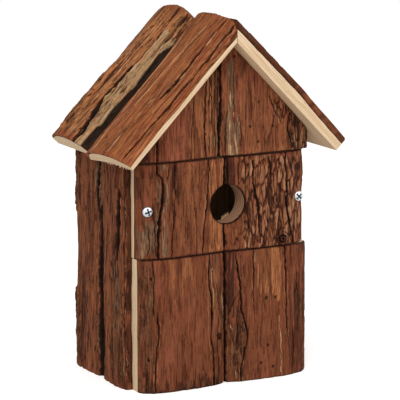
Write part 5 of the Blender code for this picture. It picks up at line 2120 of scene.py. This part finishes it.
@dataclass
class TornFibres:
    """Fibres torn at the back of the entry hole's lower edge, which show light in its dark."""

    body: str = "door"
    count: int = 34
    thickness: float = 0.6
    length: float = 3.6
    fan: tuple[float, float] = (-80.0, -54.0)
    inset: float = 0.7
    spare: float = 0.1
    seed: int = 6

    def build(self, entry: Bore, wood: Material) -> Object:
        """Makes all fibres as one piece.

        Args:
            entry: the entry hole.
            wood: the fibres' material.

        Returns:
            The finished fibres.
        """
        draw = np.random.default_rng(self.seed)
        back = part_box("door_left_slab")[1].y - self.inset * MM
        radius = (entry.diameter / 2 + self.spare) * MM
        points, outs = [], []
        for turn in np.radians(draw.uniform(*self.fan, self.count)):
            across, up = math.cos(turn), math.sin(turn)
            points.append(Vector((entry.x * MM + across * radius, back, entry.z * MM + up * radius)))
            lean = Vector((draw.uniform(-1.1, 1.1) - across, draw.uniform(-0.9, 0.1), -up))
            outs.append(lean.normalized() * draw.uniform(0.35, 1.0))
        piece = studs("torn_fibres", points, outs, self.thickness, self.length, wood)
        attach(piece, self.body)
        return piece


@dataclass
class EaveSplinters:
    """Splinters that the saw left along the lower edge of a roof slab's eave end."""

    body: str = "house"
    count: int = 70
    thickness: float = 0.7
    length: float = 1.9
    spare: float = 0.1
    seed: int = 8

    def build(self, slab: BarkSlab, wood: Material) -> Object:
        """Makes all splinters as one piece.

        Args:
            slab: the roof slab.
            wood: the splinters' material.

        Returns:
            The finished splinters.
        """
        draw = np.random.default_rng(self.seed)
        points, outs = [], []
        for share in draw.uniform(0.05, 0.95, self.count):
            place = np.array([[slab.low[0] + share * (slab.high[0] - slab.low[0]),
                               slab.low[1] - slab.back_slant * (1 - share) + self.spare,
                               slab.low[2] + draw.uniform(0.0, 0.6)]])
            points.append(Vector(slab.lie.to_frame(place)[0]))
            lean = (slab.lie.across * draw.uniform(-1.2, 1.2)
                    - slab.lie.along * draw.uniform(0.0, 0.8)
                    - slab.lie.outward * draw.uniform(0.4, 1.0))
            outs.append(lean.normalized() * draw.uniform(0.3, 1.0))
        piece = studs("eave_splinters", points, outs, self.thickness, self.length, wood)
        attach(piece, self.body)
        return piece


@dataclass
class Studio:
    """The camera, the lamps, the white surround and the pale floor, in metres."""

    eye: tuple[float, float, float] = (-0.8328, -1.5656, 0.4879)
    yaw: float = math.radians(28.28)
    pitch: float = math.radians(11.36)
    sensor: float = 36.0
    lens: float = 209.9
    target: tuple[float, float, float] = (0.0, 0.0, 0.14)
    key_spot: tuple[float, float, float] = (-1.1, -1.5, 1.7)
    key_power: float = 26.0
    key_size: float = 1.3
    fill_spot: tuple[float, float, float] = (1.5, -1.7, 0.9)
    fill_power: float = 11.0
    fill_size: float = 1.4
    surround: float = 0.55
    floor_size: float = 3.0
    floor_colour: str = "F7F6F4"
    floor_lift: float = 0.45

    def camera(self) -> None:
        """Sets the camera where the photograph was taken from."""
        data = bpy.data.cameras.new("camera")
        data.sensor_width = self.sensor
        data.lens = self.lens
        data.clip_start = 0.01
        camera = bpy.data.objects.new("camera", data)
        camera.location = self.eye
        camera.rotation_euler = (math.pi / 2 - self.pitch, 0, -self.yaw)
        bpy.context.collection.objects.link(camera)
        bpy.context.scene.camera = camera

    def lamp(self, name: str, spot: tuple[float, float, float], power: float, size: float) -> None:
        """Adds a soft square lamp that looks at the middle of the box.

        Args:
            name: the lamp's name.
            spot: where it stands.
            power: its power in watts.
            size: the length of its sides.
        """
        data = bpy.data.lights.new(name, "AREA")
        data.energy = power
        data.size = size
        lamp = bpy.data.objects.new(name, data)
        lamp.location = spot
        aim = Vector(self.target) - Vector(spot)
        lamp.rotation_euler = aim.to_track_quat("-Z", "Y").to_euler()
        bpy.context.collection.objects.link(lamp)

    def lamps(self) -> None:
        """Adds the key light from the upper left, and a weaker one from the right."""
        self.lamp("key", self.key_spot, self.key_power, self.key_size)
        self.lamp("fill", self.fill_spot, self.fill_power, self.fill_size)

    def world(self) -> None:
        """Lights the scene evenly and shows white wherever it is seen directly."""
        world = bpy.data.worlds.new("surround")
        world.use_nodes = True
        bpy.context.scene.world = world
        graph = Graph(world.node_tree)
        shader = world.node_tree.nodes["Background"]
        path = graph.add("LightPath").node.outputs
        seen = graph.add("Math", [path["Is Camera Ray"], path["Is Glossy Ray"]], "MAXIMUM")
        seen = graph.add("Math", [seen, path["Is Transmission Ray"]], "MAXIMUM")
        strength = graph.add("MapRange", [seen, 0.0, 1.0, self.surround, 1.0])
        graph.feed(shader, {"Strength": strength, "Color": (1, 1, 1, 1)})

    def floor(self) -> None:
        """Lays a pale floor that shows nearly white and keeps the box's shadow."""
        bm = bmesh.new()
        bmesh.ops.create_grid(bm, x_segments=1, y_segments=1, size=self.floor_size / 2)
        floor = mesh_object("floor", bm)
        material, graph, shader = fresh_material("painted studio floor")
        path = graph.add("LightPath").node.outputs
        lift = graph.add("Math", [path["Is Camera Ray"], self.floor_lift], "MULTIPLY")
        graph.feed(shader, {"Base Color": linear(self.floor_colour), "Roughness": 0.9,
                            "Specular IOR Level": 0.1, "Emission Color": (1, 1, 1, 1),
                            "Emission Strength": lift})
        floor.data.materials.append(material)

    def build(self) -> None:
        """Sets up the whole studio."""
        self.camera()
        self.lamps()
        self.world()
        self.floor()
        bpy.context.scene.view_settings.view_transform = "Standard"


def main() -> None:
    logging.basicConfig(level=logging.INFO, format="%(name)s %(message)s")
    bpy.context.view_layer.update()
    Studio().build()
    wall_bark = FirBark("scraped fir bark", base="753E24", deep="542512", light="955837",
                        flush="98543C", weathered="6C402C", crust="5C3A24",
                        crust_light="8A6346", plate="80492E", plate_light="B98763",
                        orange="C47C4C", grey="6B543F", grey_light="9A7F60",
                        pale="CFA177", scraped="A2663F").material()
    roof_bark = FirBark("scraped fir bark, sunned", base="9C5531", deep="5C2A12",
                        light="C6804E", flush="964A2B", weathered="83492E", crust="714F33",
                        crust_light="AD8961", plate="8C5739", plate_light="BD8E67",
                        orange="B06A2A", grey="B6946A", grey_light="D0B089",
                        pale="CE9A70", scraped="AC693D").material()
    slab_wood = SawnSoftwood("sawn fir").material()
    woods = {grain: SawnSoftwood(f"sawn fir {grain.name.lower()}", grain=grain).material()
             for grain in Grain}
    zinc = BrightZinc("bright zinc plate").material()
    steel = BluedWire("rusted brad wire").material()
    relief = BarkRelief()
    tree = relief.tree()
    carcass, door = Carcass(), Door()
    upright = carcass.wall_slabs() + carcass.front_slabs()
    roof = carcass.roof_slabs()
    for slabs, bark, body in ((upright, wall_bark, carcass.body), (roof, roof_bark, carcass.body),
                              (door.slabs(), wall_bark, door.body)):
        for slab in slabs:
            slab.build(relief, tree, bark, slab_wood, body)
    for node, grain in {**carcass.boards(), **door.boards()}.items():
        dress(node, woods[grain])
    PanHeadScrew("screw_left", "screw_left", math.radians(16)).build(zinc)
    PanHeadScrew("screw_right", "screw_right", math.radians(45)).build(zinc)
    Brads().build(upright + roof, steel)
    TornFibres().build(door.entry(), woods[Grain.ALONG_X])
    EaveSplinters().build(roof[1], woods[Grain.ALONG_X])


if __name__ == "__main__":
    main()
